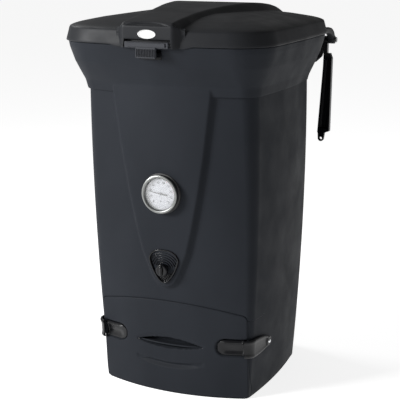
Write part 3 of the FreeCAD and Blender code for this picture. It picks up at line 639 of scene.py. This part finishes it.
def strap_line(z):
    """Middle of the strap's thickness from its pad to its end, in plan, at one height."""
    size = body_size(z)
    size[0] += 0.006
    size[1] -= 0.0105
    size[2] += 0.006
    size[4] += 0.0075
    line, length, _ = half_outline(size)
    start = np.interp(PIVOT_X, line[:100, 0], length[:100])
    below = line[:, 1] < 0.1
    stop = np.interp(EYE[0] + 0.015, line[below, 1], length[below])
    return line, length, start, stop


def strap_edges(s):
    """Upper and lower edge heights along the strap, from 0 at the pad to 1 at the tip."""
    upper = np.interp(s, (0.0, 0.25, 0.40, 0.60, 0.80, TIP_START),
                      (0.184, 0.1850, 0.1835, 0.1790, 0.1700, 0.1650))
    lower = np.interp(s, (0.0, 0.20, 0.40, 0.60, 0.80, TIP_START),
                      (0.131, 0.1285, 0.1275, 0.1295, 0.1340, 0.1350))
    tip = np.clip((s - TIP_START) / 0.12, 0.0, 1.0)
    round_off = 0.0150 * np.sqrt(np.maximum(1.0 - tip ** 2, 0.0))
    upper = np.where(s > TIP_START, EYE[1] + round_off, upper)
    lower = np.where(s > TIP_START, EYE[1] - round_off, lower)
    return upper, lower


def strap(side):
    """Rubber strap: thick beaded edges, a thinner web and a ring round the rivet."""
    stations = np.linspace(0.0, 1.0, 72) ** 0.95
    upper, lower = strap_edges(stations)
    half_across = np.array((0.0, 0.02, 0.07, 0.13, 0.19, 0.26))
    half_skin = np.array((0.0, 0.0020, 0.0036, 0.0038, 0.0026, 0.0014))
    across = np.concatenate((half_across, (0.5, 0.74, 0.81, 0.87, 0.93, 0.98, 1.0)))
    skin = np.concatenate((half_skin, [0.0012], half_skin[::-1]))
    rows = []
    for s, hi, lo in zip(stations, upper, lower):
        z = lo + (hi - lo) * across
        mid, out = [], []
        for level in z:
            line, length, start, stop = strap_line(level)
            here = start + s * (stop - start)
            a, b = at_length(line, length, np.array((here, here + 0.002)))
            tangent = (b - a) / np.linalg.norm(b - a)
            mid.append(a)
            out.append((tangent[1], -tangent[0]))
        mid, out = np.array(mid), np.array(out)
        eye = np.hypot(mid[:, 1] - EYE[0], z - EYE[1])
        ringed = np.where(eye < EYE_R, 0.0042 - 0.0016 * smooth((0.0085 - eye) / 0.002), skin)
        ringed = np.minimum(ringed, 0.0042) * np.where((across == 0) | (across == 1), 0.0, 1.0)
        outer = np.column_stack((mid + out * ringed[:, None], z))
        inner = np.column_stack((mid - out * 0.0030, z))
        rows.append(np.concatenate((outer, inner[::-1])))
    rows = np.array(rows)
    rows[..., 0] *= side
    name = hand_name(side)
    patches = Patches()
    patches.add(rows, closed=True)
    patches.fan(rows[0])
    patches.fan(rows[-1])
    patches.build("strap_band_" + name, RUBBER, name + "_strap", "strap_rubber", ["strap_" + name], 60.0)


def pad(side):
    """Grip pad of the strap, curved with the hatch, with a raised upper lip and finger ribs."""
    x = np.linspace(*PAD_X, 49)
    across = np.linspace(0.0, 1.0, 37)
    mid, radius = 0.5 * sum(PAD_Z), 0.5 * (PAD_Z[1] - PAD_Z[0]) - 0.001
    reach = np.clip((PAD_X[0] + radius - x) / radius, 0.0, 1.0)
    height = radius * np.sqrt(np.maximum(1.0 - reach ** 2, 0.0))
    rows = []
    for xx, h in zip(x, height):
        z = mid + h * (2.0 * across - 1.0)
        rim = np.minimum(h - np.abs(z - mid), xx - PAD_X[0])
        puff = 0.0066 * smooth((rim + 0.0005) / 0.0045)
        below_edge = np.abs(z - (PAD_Z[1] - 0.010))
        lip = 0.0042 * smooth(1.0 - below_edge / 0.0055) * smooth((xx - 0.150) / 0.02)
        hollow = 0.0046 * smooth(1.0 - np.abs(z - 0.151) / 0.017) * smooth((xx - 0.153) / 0.02)
        bar = 0.0022 * smooth(1.0 - abs(xx - 0.2185) / 0.004)
        level = np.full(len(z), xx)
        y = front_y(level, z) + 0.0088 - puff - lip + hollow - bar
        rows.append(np.column_stack((level, y, z)))
    rows = np.array(rows)
    back = rows.copy()
    back[..., 1] = front_y(rows[..., 0], rows[..., 2]) + 0.0100
    loops = np.concatenate((rows, back[:, ::-1]), axis=1)
    loops[..., 0] *= side
    name = hand_name(side)
    patches = Patches()
    patches.add(loops, closed=True)
    patches.fan(loops[0])
    patches.fan(loops[-1])
    patches.build("strap_grip_" + name, RUBBER, "hatch", "strap_rubber", ["strap_pad_" + name], 60.0)


def rivet(side):
    """Bright domed cap in the strap's eye."""
    name = hand_name(side)
    low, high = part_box("strap_rivet_" + name)
    x = (low[0] + high[0]) * 0.5
    profile = [(0.0, 0.0034), (0.0022, 0.0033), (0.0042, 0.0026), (0.0056, 0.0012), (0.0060, 0.0),
               (0.0060, -0.002)]
    points = lathe([(r, side * along) for r, along in profile], 40, (x, EYE[0], EYE[1]), "X")
    patches = Patches()
    patches.add(points, closed=True)
    patches.build("rivet_cap_" + name, BRIGHT, name + "_strap", "stainless_steel",
                  ["strap_rivet_" + name])


# ---- thermometer --------------------------------------------------------------------

FACE_Y = -0.2805                # front of the bezel
SCALE_SWEEP = 270.0             # degrees of dial from 0 to full scale
GAUGE_CENTRE = (0.0, 0.0, THERMO_Z)


def turned_piece(name, profile, segments, material, node_slot, replaced):
    """One piece of the gauge, turned from (radius, distance behind the bezel's front) pairs."""
    piece = Patches()
    piece.add(lathe([(radius, FACE_Y + along) for radius, along in profile], segments, GAUGE_CENTRE),
              closed=True)
    piece.build(name, material, "cabinet", node_slot, replaced)


def thermometer():
    """Bezel and case in one, gasket, dial with its print, needle and lens."""
    bezel = [(0.0495, 0.0137), (0.0536, 0.0133), (0.0540, 0.0115), (0.0540, 0.0030), (0.0534, 0.0010),
             (0.0520, 0.0002), (0.0500, 0.0), (0.0478, 0.0004), (0.0462, 0.0016), (0.0452, 0.0032),
             (0.0447, 0.0060), (0.0445, 0.0134)]
    turned_piece("gauge_bezel", bezel, 128, STEEL, "stainless_steel",
                 ["thermometer_bezel", "thermometer_case"])
    gasket = [(0.0490, 0.0136), (0.0555, 0.0136), (0.0572, 0.0145), (0.0578, 0.0160), (0.0582, 0.0205),
              (0.0584, 0.0245)]
    turned_piece("gauge_gasket", gasket, 96, SEAL, "seal_rubber", ["thermometer_gasket"])
    plate = [(0.0, 0.0130), (0.0150, 0.0130), (0.0300, 0.0130), (0.0445, 0.0130), (0.0485, 0.0131),
             (0.0485, 0.0140)]
    turned_piece("gauge_dial_plate", plate, 96, DIAL, "gauge_dial", ["thermometer_dial"])
    scale_marks(FACE_Y + 0.01285)
    numbers(FACE_Y + 0.01280)
    pointer(FACE_Y + 0.0108)
    lens = [(0.0, 0.0034), (0.0150, 0.0036), (0.0300, 0.0042), (0.0446, 0.0054), (0.0446, 0.0066),
            (0.0300, 0.0056), (0.0, 0.0050)]
    turned_piece("gauge_lens", lens, 96, GLASS, "gauge_glass", ["thermometer_lens"])


def dial_point(angle, radius):
    """Place on the dial; 0 is the scale's start at lower left, and it runs clockwise."""
    turn = math.radians(225.0 - angle)
    return radius * math.cos(turn), THERMO_Z + radius * math.sin(turn)


def dial_arc(y, start, stop, radius):
    return [(x, y, z) for x, z in (dial_point(a, radius) for a in np.linspace(start, stop, 90))]


def scale_marks(y):
    """Fifty divisions with every fifth one long, the working range in red, and a small dot."""
    ink, red = Patches(), Patches()
    for k in range(51):
        angle = SCALE_SWEEP * k / 50.0
        inner, half = (0.0365, 0.00045) if k % 5 == 0 else (0.0385, 0.00022)
        x0, z0 = dial_point(angle, inner)
        x1, z1 = dial_point(angle, 0.0415)
        dx, dz = x1 - x0, z1 - z0
        size = math.hypot(dx, dz)
        nx, nz = -dz / size * half, dx / size * half
        mark = [[(x0 - nx, y, z0 - nz), (x1 - nx, y, z1 - nz)],
                [(x0 + nx, y, z0 + nz), (x1 + nx, y, z1 + nz)]]
        (red if 30 <= k <= 40 else ink).add(mark)
    for patches, start, stop, radius in ((ink, 0.0, SCALE_SWEEP, 0.0420), (red, 162.0, 216.0, 0.0432)):
        patches.add([dial_arc(y, start, stop, radius), dial_arc(y, start, stop, radius + 0.0005)])
    ink.add(lathe([(0.0, y), (0.0022, y)], 24, (0.0, 0.0, THERMO_Z - 0.0215)), closed=True)
    ink.build("gauge_scale", INK, "cabinet", "gauge_pointer")
    red.build("gauge_working_range", RED_INK, "cabinet", "gauge_pointer")


def numbers(y):
    """Plain scale figures, every ten degrees."""
    for k in range(10):
        curve = bpy.data.curves.new(f"figure_{k}", "FONT")
        curve.body = str(10 * k)
        curve.size = 0.0088
        curve.offset = 0.00025
        curve.align_x = "CENTER"
        curve.align_y = "CENTER"
        text = bpy.data.objects.new(f"text_{k}", curve)
        bpy.context.scene.collection.objects.link(text)
        mesh = bpy.data.meshes.new_from_object(text)
        bpy.data.objects.remove(text)
        x, z = dial_point(30.0 * k, 0.0318)
        for v in mesh.vertices:
            v.co = (x + v.co.x, y, z + v.co.y)
        mesh.materials.clear()
        place(f"gauge_figure_{k}", mesh, INK, "cabinet")


def pointer(y):
    """Tapered needle with a counterweight tail and a domed hub."""
    lean = math.radians(180.0 - 8.0)     # it points left and a little up at rest
    along = np.array((math.cos(lean), math.sin(lean)))
    across = np.array((-along[1], along[0]))
    outline = [(-0.0215, 0.0018), (-0.0200, 0.0027), (-0.0060, 0.0022), (0.0, 0.0018), (0.0390, 0.0006)]
    sides = [[along * u + across * w * sign for u, w in outline] for sign in (1.0, -1.0)]
    patches = Patches()
    top = [[(p[0], y, THERMO_Z + p[1]) for p in side] for side in sides]
    low = [[(p[0], y + 0.0008, THERMO_Z + p[1]) for p in side] for side in sides]
    patches.add([low[0], top[0], top[1], low[1]])
    patches.add(lathe([(0.0, y - 0.0016), (0.0022, y - 0.0014), (0.0038, y - 0.0006), (0.0042, y + 0.0010)],
                      32, GAUGE_CENTRE), closed=True)
    patches.build("gauge_needle", INK, "pointer", "gauge_pointer", ["thermometer_pointer"], 30.0)


# ---- air valve ----------------------------------------------------------------------

VENT = np.array(((0, 443), (14, 442.5), (27, 439), (39, 431), (46, 420), (47.5, 410), (44, 397), (36, 378),
                 (25, 360), (14, 347), (6, 342.5), (0, 341.5))) * MM


def vent():
    """Shield-shaped inlet: raised rim, arched louvres above the knob and a pin grid below."""
    back, louvre_pitch, pin_pitch = -0.2475, 0.0068, 0.0042
    x = np.linspace(-0.048, 0.048, 141)
    z = np.linspace(0.341, 0.444, 151)
    X, Z = np.meshgrid(x, z)
    reach = outline_distance(X, Z, VENT)
    rim = smooth(reach / 0.0022) - 0.75 * smooth((reach - 0.0048) / 0.003)
    radius = np.hypot(X, Z - VENT_Z)
    sector = smooth((Z - VENT_Z - 0.35 * np.abs(X) + 0.004) / 0.006)
    louvre = (0.5 + 0.5 * np.cos(radius * 2 * math.pi / louvre_pitch)) ** 1.5 * sector
    pins = np.sin(X * math.pi / pin_pitch) * np.sin((Z - 0.35) * math.pi / pin_pitch)
    grid = smooth(pins * 2.0) * smooth((VENT_Z - Z - 0.008) / 0.006)
    well = smooth((reach - 0.0075) / 0.002)
    height = 0.0088 * rim + well * (0.0046 * louvre + 0.0030 * grid)
    Y = back - np.maximum(height, 0.0)
    keep = (reach > -0.0004).ravel()
    faces = [face for face in grid_faces(len(z), len(x)) if all(keep[i] for i in face)]
    verts = [tuple(v) for v in np.stack((X, Y, Z), -1).reshape(-1, 3)]
    loose_out(mesh_object("vent_grid_shield", verts, faces, TRIM, "cabinet",
                          ["vent_shield"]))
    vent_knob()


def loose_out(obj):
    """Removes vertices that no face uses."""
    bm = bmesh.new()
    bm.from_mesh(obj.data)
    bmesh.ops.delete(bm, geom=[v for v in bm.verts if not v.link_faces], context="VERTS")
    bm.to_mesh(obj.data)
    bm.free()


def vent_knob():
    """Round knob with a finger bar across it."""
    y, segments = -0.272, 96
    profile = [(0.0, 0.0012), (0.0060, 0.0010), (0.0120, 0.0002), (0.0155, 0.0), (0.0172, 0.0012),
               (0.0178, 0.0034), (0.0180, 0.0120), (0.0150, 0.0145), (0.0060, 0.0150)]
    rows = lathe([(radius, y + along) for radius, along in profile], segments, (0.0, 0.0, VENT_Z))
    turn = np.linspace(0, 2 * math.pi, segments, endpoint=False)
    flute = 1.0 - 0.035 * (0.5 + 0.5 * np.cos(turn * 24))
    rows[4:7, :, 0] *= flute
    rows[4:7, :, 2] = VENT_Z + (rows[4:7, :, 2] - VENT_Z) * flute
    patches = Patches()
    patches.add(rows, closed=True)
    bar = []
    for s in np.linspace(-1.0, 1.0, 21):
        w = 0.0048 * math.sqrt(max(1.0 - s ** 6, 0.0)) + 1e-5
        h = 0.0068 * math.sqrt(max(1.0 - s ** 4, 0.0)) + 1e-5
        loop = []
        for a in np.linspace(0.0, math.pi, 11):
            loop.append((w * math.cos(a), y + 0.001 - h * math.sin(a) ** 0.7, VENT_Z + 0.0165 * s))
        bar.append(loop)
    patches.add(np.array(bar))
    patches.build("vent_knob_cap", TRIM, "vent_knob", "trim_plastic", ["vent_knob"], 50.0)


# ---- lid ----------------------------------------------------------------------------

# The dome's height by how far in from the rim.
DOME_PULL = np.array((0.0, 0.010, 0.03, 0.075, 0.14, 0.25, 0.40, 0.58, 0.80, 1.0))
DOME_Z = np.array((1.0545, 1.0580, 1.0610, 1.0655, 1.0700, 1.0770, 1.0840, 1.0895, 1.0930, 1.0940))


def dome(pull):
    """Height of the lid's top by how far in from the rim, 0 at the rim and 1 at the middle."""
    coarse = np.linspace(0.0, 1.0, 401)
    z = np.interp(coarse, DOME_PULL, DOME_Z)
    kernel = np.hanning(21)
    padded = np.concatenate((np.full(10, z[0]), z, np.full(10, z[-1])))
    z = np.convolve(padded, kernel / kernel.sum(), "valid")
    return np.interp(pull, coarse, z)


LID_RIM = RIM + np.array((4.5, -4.5, 4.5, 0.0, 0.0, 0.0, 0.0)) * MM
LID_MIDDLE = np.array((0.0, -0.012))
LID_COLS = 170
SKIRT_TILT = 0.0095
SKIRT_FOOT_Z = 1.0195
# Inset and height of the rows round the skirt's lower edge, from inside it to its face.
SKIRT_EDGE = ((0.0250, 1.0200), (0.0040, 1.0195), (0.0032, 1.0175), (0.0022, 1.0167), (0.0010, 1.0168),
              (0.0002, 1.0178), (0.0, 1.0195))


def lid_ring(inset):
    """The lid's section in evenly spaced points."""
    line, length, _ = half_outline(LID_RIM, inset)
    right = at_length(line, length, np.linspace(0.0, length[-1], LID_COLS + 1))
    return np.concatenate((right, right[-2:0:-1] * (-1.0, 1.0)))


def lid():
    """Skirt, dipping under the front block, and dome, then the pieces on them."""
    def row(inset, z):
        flat = lid_ring(inset)
        return np.column_stack((flat, np.full(len(flat), z)))

    rows = []
    inner = row(*SKIRT_EDGE[0])
    dip = 0.0055 * smooth((0.118 - np.abs(inner[:, 0])) / 0.03) * (inner[:, 1] < 0)
    for inset, z in SKIRT_EDGE:
        r = row(inset, z)
        if inset < 0.02:
            r[:, 2] -= dip
        rows.append(r)
    for z in (1.026, 1.034, 1.042, 1.049, 1.0525):
        rows.append(row(SKIRT_TILT * (z - SKIRT_FOOT_Z) / 0.035, z))
    rim = row(SKIRT_TILT, 0.0)
    for pull in np.concatenate(([0.004, 0.010, 0.018, 0.028], np.linspace(0.04, 0.995, 84))):
        r = rim.copy()
        r[:, :2] = rim[:, :2] * (1.0 - pull) + LID_MIDDLE * pull
        r[:, 2] = dome(pull)
        rows.append(r)
    patches = Patches()
    patches.add(np.array(rows), closed=True)
    patches.fan(rows[-1])
    patches.build("lid_skin", LID, "lid", "shell_plastic", ["lid_shell"], 45.0)
    lid_band()
    lid_knuckles()
    badge()


def lid_height(x, y):
    """Height of the dome over a place, and how far inside the rim that place is."""
    rim = lid_ring(SKIRT_TILT) - LID_MIDDLE
    angle = np.arctan2(rim[:, 1], rim[:, 0])
    order = np.argsort(angle)
    here = np.array((x, y)) - LID_MIDDLE
    reach = np.interp(math.atan2(here[1], here[0]), angle[order], np.hypot(*rim[order].T),
                      period=2 * math.pi)
    pull = 1.0 - math.hypot(*here) / reach
    return dome(pull), pull


# The raised spine's middle line, Y and Z from its front face back over the lid.
BAND = np.array(((-345, 1066), (-344, 1071), (-340, 1075.5), (-332, 1079), (-300, 1084), (-240, 1091),
                 (-180, 1097), (-120, 1102.5), (-60, 1106.5), (0, 1109), (60, 1110), (110, 1109), (160, 1105.5),
                 (210, 1099.5), (250, 1092), (280, 1083), (298, 1073), (303, 1062), (304, 1050))) * MM


SLOT_W = 0.0672                 # half width of the block's slot for the latch


def lid_band():
    """Raised spine: front block with its finger scoop, then a low ridge that fans out to the back."""
    arc = np.concatenate(([0.0], np.cumsum(np.linalg.norm(np.diff(BAND, axis=0), axis=1))))
    s = np.concatenate((np.linspace(0.0, 0.03, 31), np.linspace(0.035, arc[-1] - 0.05, 90),
                        np.linspace(arc[-1] - 0.044, arc[-1], 14)))
    y = np.interp(s, arc, BAND[:, 0])
    z = np.interp(s, arc, BAND[:, 1])
    kernel = np.array((1, 2, 3, 2, 1)) / 9.0
    for _ in range(2):
        y[2:-2] = np.convolve(y, kernel, "valid")
        z[2:-2] = np.convolve(z, kernel, "valid")
    ty, tz = np.gradient(y, s), np.gradient(z, s)
    size = np.hypot(ty, tz)
    ny, nz = -tz / size, ty / size
    top_w = 0.0705 + 0.042 * smooth((y + 0.22) / 0.32) + 0.022 * smooth(y / 0.26)
    foot_w = top_w + 0.026 + 0.014 * smooth((y + 0.15) / 0.40)
    wall = []
    for k in range(len(s)):
        height, pull = lid_height(foot_w[k], y[k])
        wall.append(z[k] - height + 0.003 if pull > 0.03 and s[k] > 0.02 else 0.022)
    wall = np.where((y < -0.285) & (s > 0.012), np.maximum(wall, 0.036), wall)
    wall = np.convolve(np.pad(wall, 3, "edge"), np.ones(7) / 7.0, "valid")
    fine = np.linspace(0.0, 1.0, 15)[1:]
    rows = []
    for k in range(len(s)):
        half = np.concatenate((np.linspace(0.0, top_w[k] - 0.006, 26),
                               top_w[k] - 0.006 + (foot_w[k] - top_w[k] + 0.010) * fine))
        x = np.concatenate((-half[:0:-1], half))
        slope = np.clip((np.abs(x) - top_w[k]) / (foot_w[k] - top_w[k]), -1.0, 1.3)
        fall = wall[k] * smooth(slope * 0.93 + 0.03)
        arch = 0.004 + 0.019 * np.maximum(1.0 - (x / 0.064) ** 2, 0.0) - s[k]
        scoop = 0.0034 * smooth(np.minimum(s[k] - 0.003, arch) / 0.0035)
        drop = fall + scoop
        rows.append(np.column_stack((x, y[k] - ny[k] * drop, z[k] - nz[k] * drop)))
    rows = np.array(rows)
    first = rows[0]
    bottom = np.where(np.abs(first[:, 0]) < SLOT_W, 1.0355, 1.0118)
    face = []
    for t in np.linspace(0.0, 1.0, 16):
        level = first.copy()
        level[:, 2] = bottom + (first[:, 2] - bottom) * t
        face.append(level)
    patches = Patches()
    patches.add(np.array([face[0] + (0.0, 0.016, 0.0), face[0] + (0.0, 0.0008, -0.0008)] + face[1:-1]))
    patches.add(np.concatenate((np.array(face[-2:-1]), rows)))
    patches.build("lid_spine", LID, "lid", "shell_plastic", (), 40.0)


KNUCKLE_X = 0.286
# Y and Z of the arm's middle line, and half its depth, from the skirt back to the pin.
KNUCKLE = np.array(((0.215, 1.0215, 0.0105), (0.262, 1.0215, 0.0110), (0.300, 1.0205, 0.0115),
                    (0.326, 1.0150, 0.0120), (0.342, 1.0050, 0.0125), (0.352, 0.9880, 0.0122)))


def lid_knuckles():
    """Curved hinge arms from the lid's skirt back to the pins."""
    stops = np.arange(len(KNUCKLE))
    u = np.linspace(0.0, len(KNUCKLE) - 1, 41)
    pts = np.column_stack([np.interp(u, stops, KNUCKLE[:, i]) for i in (0, 1)])
    deep = np.interp(u, stops, KNUCKLE[:, 2])
    for _ in range(6):
        pts[1:-1] = 0.25 * pts[:-2] + 0.5 * pts[1:-1] + 0.25 * pts[2:]
    tangent = np.gradient(pts, axis=0)
    tangent /= np.linalg.norm(tangent, axis=1)[:, None]
    boss = [(0.0052, 0.276), (0.0116, 0.276), (0.0124, 0.2768), (0.0124, 0.2952), (0.0116, 0.296),
            (0.0052, 0.296)]
    for side in (-1, 1):
        rows = []
        for p, t, d in zip(pts, tangent, deep):
            loop = []
            for a in np.linspace(0.0, 2 * math.pi, 28, endpoint=False):
                cx, cn = math.cos(a), math.sin(a)
                wide = 0.010 * math.copysign(abs(cx) ** 0.35, cx)
                tall = d * 0.82 * math.copysign(abs(cn) ** 0.45, cn)
                loop.append((side * (KNUCKLE_X + wide), p[0] - t[1] * tall, p[1] + t[0] * tall))
            rows.append(loop)
        patches = Patches()
        patches.add(np.array(rows), closed=True)
        patches.fan(rows[0])
        turned = lathe([(r, side * x) for r, x in boss], 48, (0.0, HINGE_Y, HINGE_Z), "X")
        patches.add(turned, closed=True)
        patches.build("lid_knuckle_" + hand_name(side), LID, "lid", "shell_plastic", (), 50.0)


def badge():
    """Blank oval plate with a raised rim."""
    half_w, half_h, middle_z = 0.0262, 0.0117, 1.048
    profile = [(0.0, -0.0006), (0.70, -0.0006), (0.86, -0.0007), (0.90, -0.0013), (0.96, -0.0014),
               (1.0, -0.0008), (1.0, 0.0008)]
    turn = np.linspace(0, 2 * math.pi, 72, endpoint=False)
    rows = []
    for scale, dy in profile:
        rows.append(np.column_stack((half_w * scale * np.cos(turn), np.full(len(turn), BLOCK_Y + dy),
                                     middle_z + half_h * scale * np.sin(turn))))
    patches = Patches()
    patches.add(np.array(rows), closed=True)
    patches.build("badge_oval", BADGE, "lid", "badge_plate", ["lid_badge"])


def latch():
    """Lever bar in the block's slot with its ribbed finger tab, and the catch on the collar."""
    boxes = [((-0.0635, -0.3500, 1.0122), (0.0635, -0.3400, 1.0282)),
             ((-0.0560, -0.3535, 1.0150), (0.0560, -0.3480, 1.0262)),
             ((-0.0290, -0.3540, 0.9865), (0.0290, -0.3462, 1.0150)),
             ((-0.0240, -0.3470, 0.9845), (0.0240, -0.3408, 0.9884))]
    for k in range(12):                   # ribs of the tab
        x = -0.0253 + 0.0046 * k
        boxes.append(((x - 0.0009, -0.3562, 0.9890), (x + 0.0009, -0.3530, 1.0105)))
    bevelled("latch_lever", boxes, LATCH, "latch", ["lid_latch"], 0.0009)
    boxes = [((-0.0330, -0.3262, 0.9800), (0.0330, -0.3225, 1.0080)),
             ((-0.0270, -0.3393, 0.9893), (0.0270, -0.3240, 0.9980)),
             ((-0.0250, -0.3330, 0.9830), (-0.0215, -0.3240, 0.9900))]
    bevelled("latch_catch", boxes, TRIM, "cabinet", ["latch_keeper"], 0.0008)


# ---- stage, light, camera -----------------------------------------------------------

def stage():
    """Large pale floor disc, a little self-lit, which fills the background."""
    turn = np.linspace(0.0, 2 * math.pi, 96, endpoint=False)
    rows = [[(r * math.cos(a), r * math.sin(a), -0.0005) for a in turn]
            for r in (0.001, 1.0, 4.0, 16.0, 60.0)]
    mesh = bpy.data.meshes.new("floor")
    mesh.from_pydata(np.array(rows).reshape(-1, 3).tolist(), [], grid_faces(5, 96, 0, True))
    floor = bpy.data.objects.new("floor", mesh)
    pale = Surface("pale_floor").done({"Base Color": (0.62, 0.62, 0.62, 1.0), "Roughness": 0.95,
                                       "Specular IOR Level": 0.0, "Emission Strength": 0.80,
                                       "Emission Color": (1.0, 1.0, 1.0, 1.0)})
    mesh.materials.append(pale)
    bpy.context.scene.collection.objects.link(floor)


def area_light(name, where, target, size, power):
    """Square soft light aimed at a target."""
    data = bpy.data.lights.new(name, "AREA")
    data.shape = "RECTANGLE"
    data.size = data.size_y = size
    data.energy = power
    light = bpy.data.objects.new(name, data)
    light.location = where
    light.rotation_euler = (Vector(target) - Vector(where)).to_track_quat("-Z", "Y").to_euler()
    bpy.context.scene.collection.objects.link(light)


def lights():
    """Even white surroundings, a key light at the front left and a weak one on the lid."""
    world = bpy.data.worlds.new("studio")
    bpy.context.scene.world = world
    world.use_nodes = True
    background = world.node_tree.nodes["Background"]
    background.inputs["Color"].default_value = (1.0, 1.0, 1.0, 1.0)
    background.inputs["Strength"].default_value = 0.20
    area_light("key", (-2.7, -2.9, 2.0), (0.0, -0.2, 0.6), 1.3, 235.0)
    area_light("lid", (-2.2, 0.6, 2.6), (-0.1, 0.0, 1.0), 0.9, 30.0)


def camera():
    """From the front right and above, aimed at the bin's middle."""
    data = bpy.data.cameras.new("camera")
    data.lens = 99.67
    data.sensor_width = 36.0
    view = bpy.data.objects.new("camera", data)
    view.location = (1.30764, -2.94441, 1.29441)
    aim = Vector((0.00170, -0.00553, 0.53079))
    view.rotation_euler = (aim - view.location).to_track_quat("-Z", "Y").to_euler()
    bpy.context.scene.collection.objects.link(view)
    bpy.context.scene.camera = view
    bpy.context.scene.view_settings.view_transform = "Standard"


dress_frame()
camera()
outer_shell()
hatch()
for hand in (1, -1):
    strap(hand)
    pad(hand)
    rivet(hand)
thermometer()
vent()
lid()
latch()
stage()
lights()
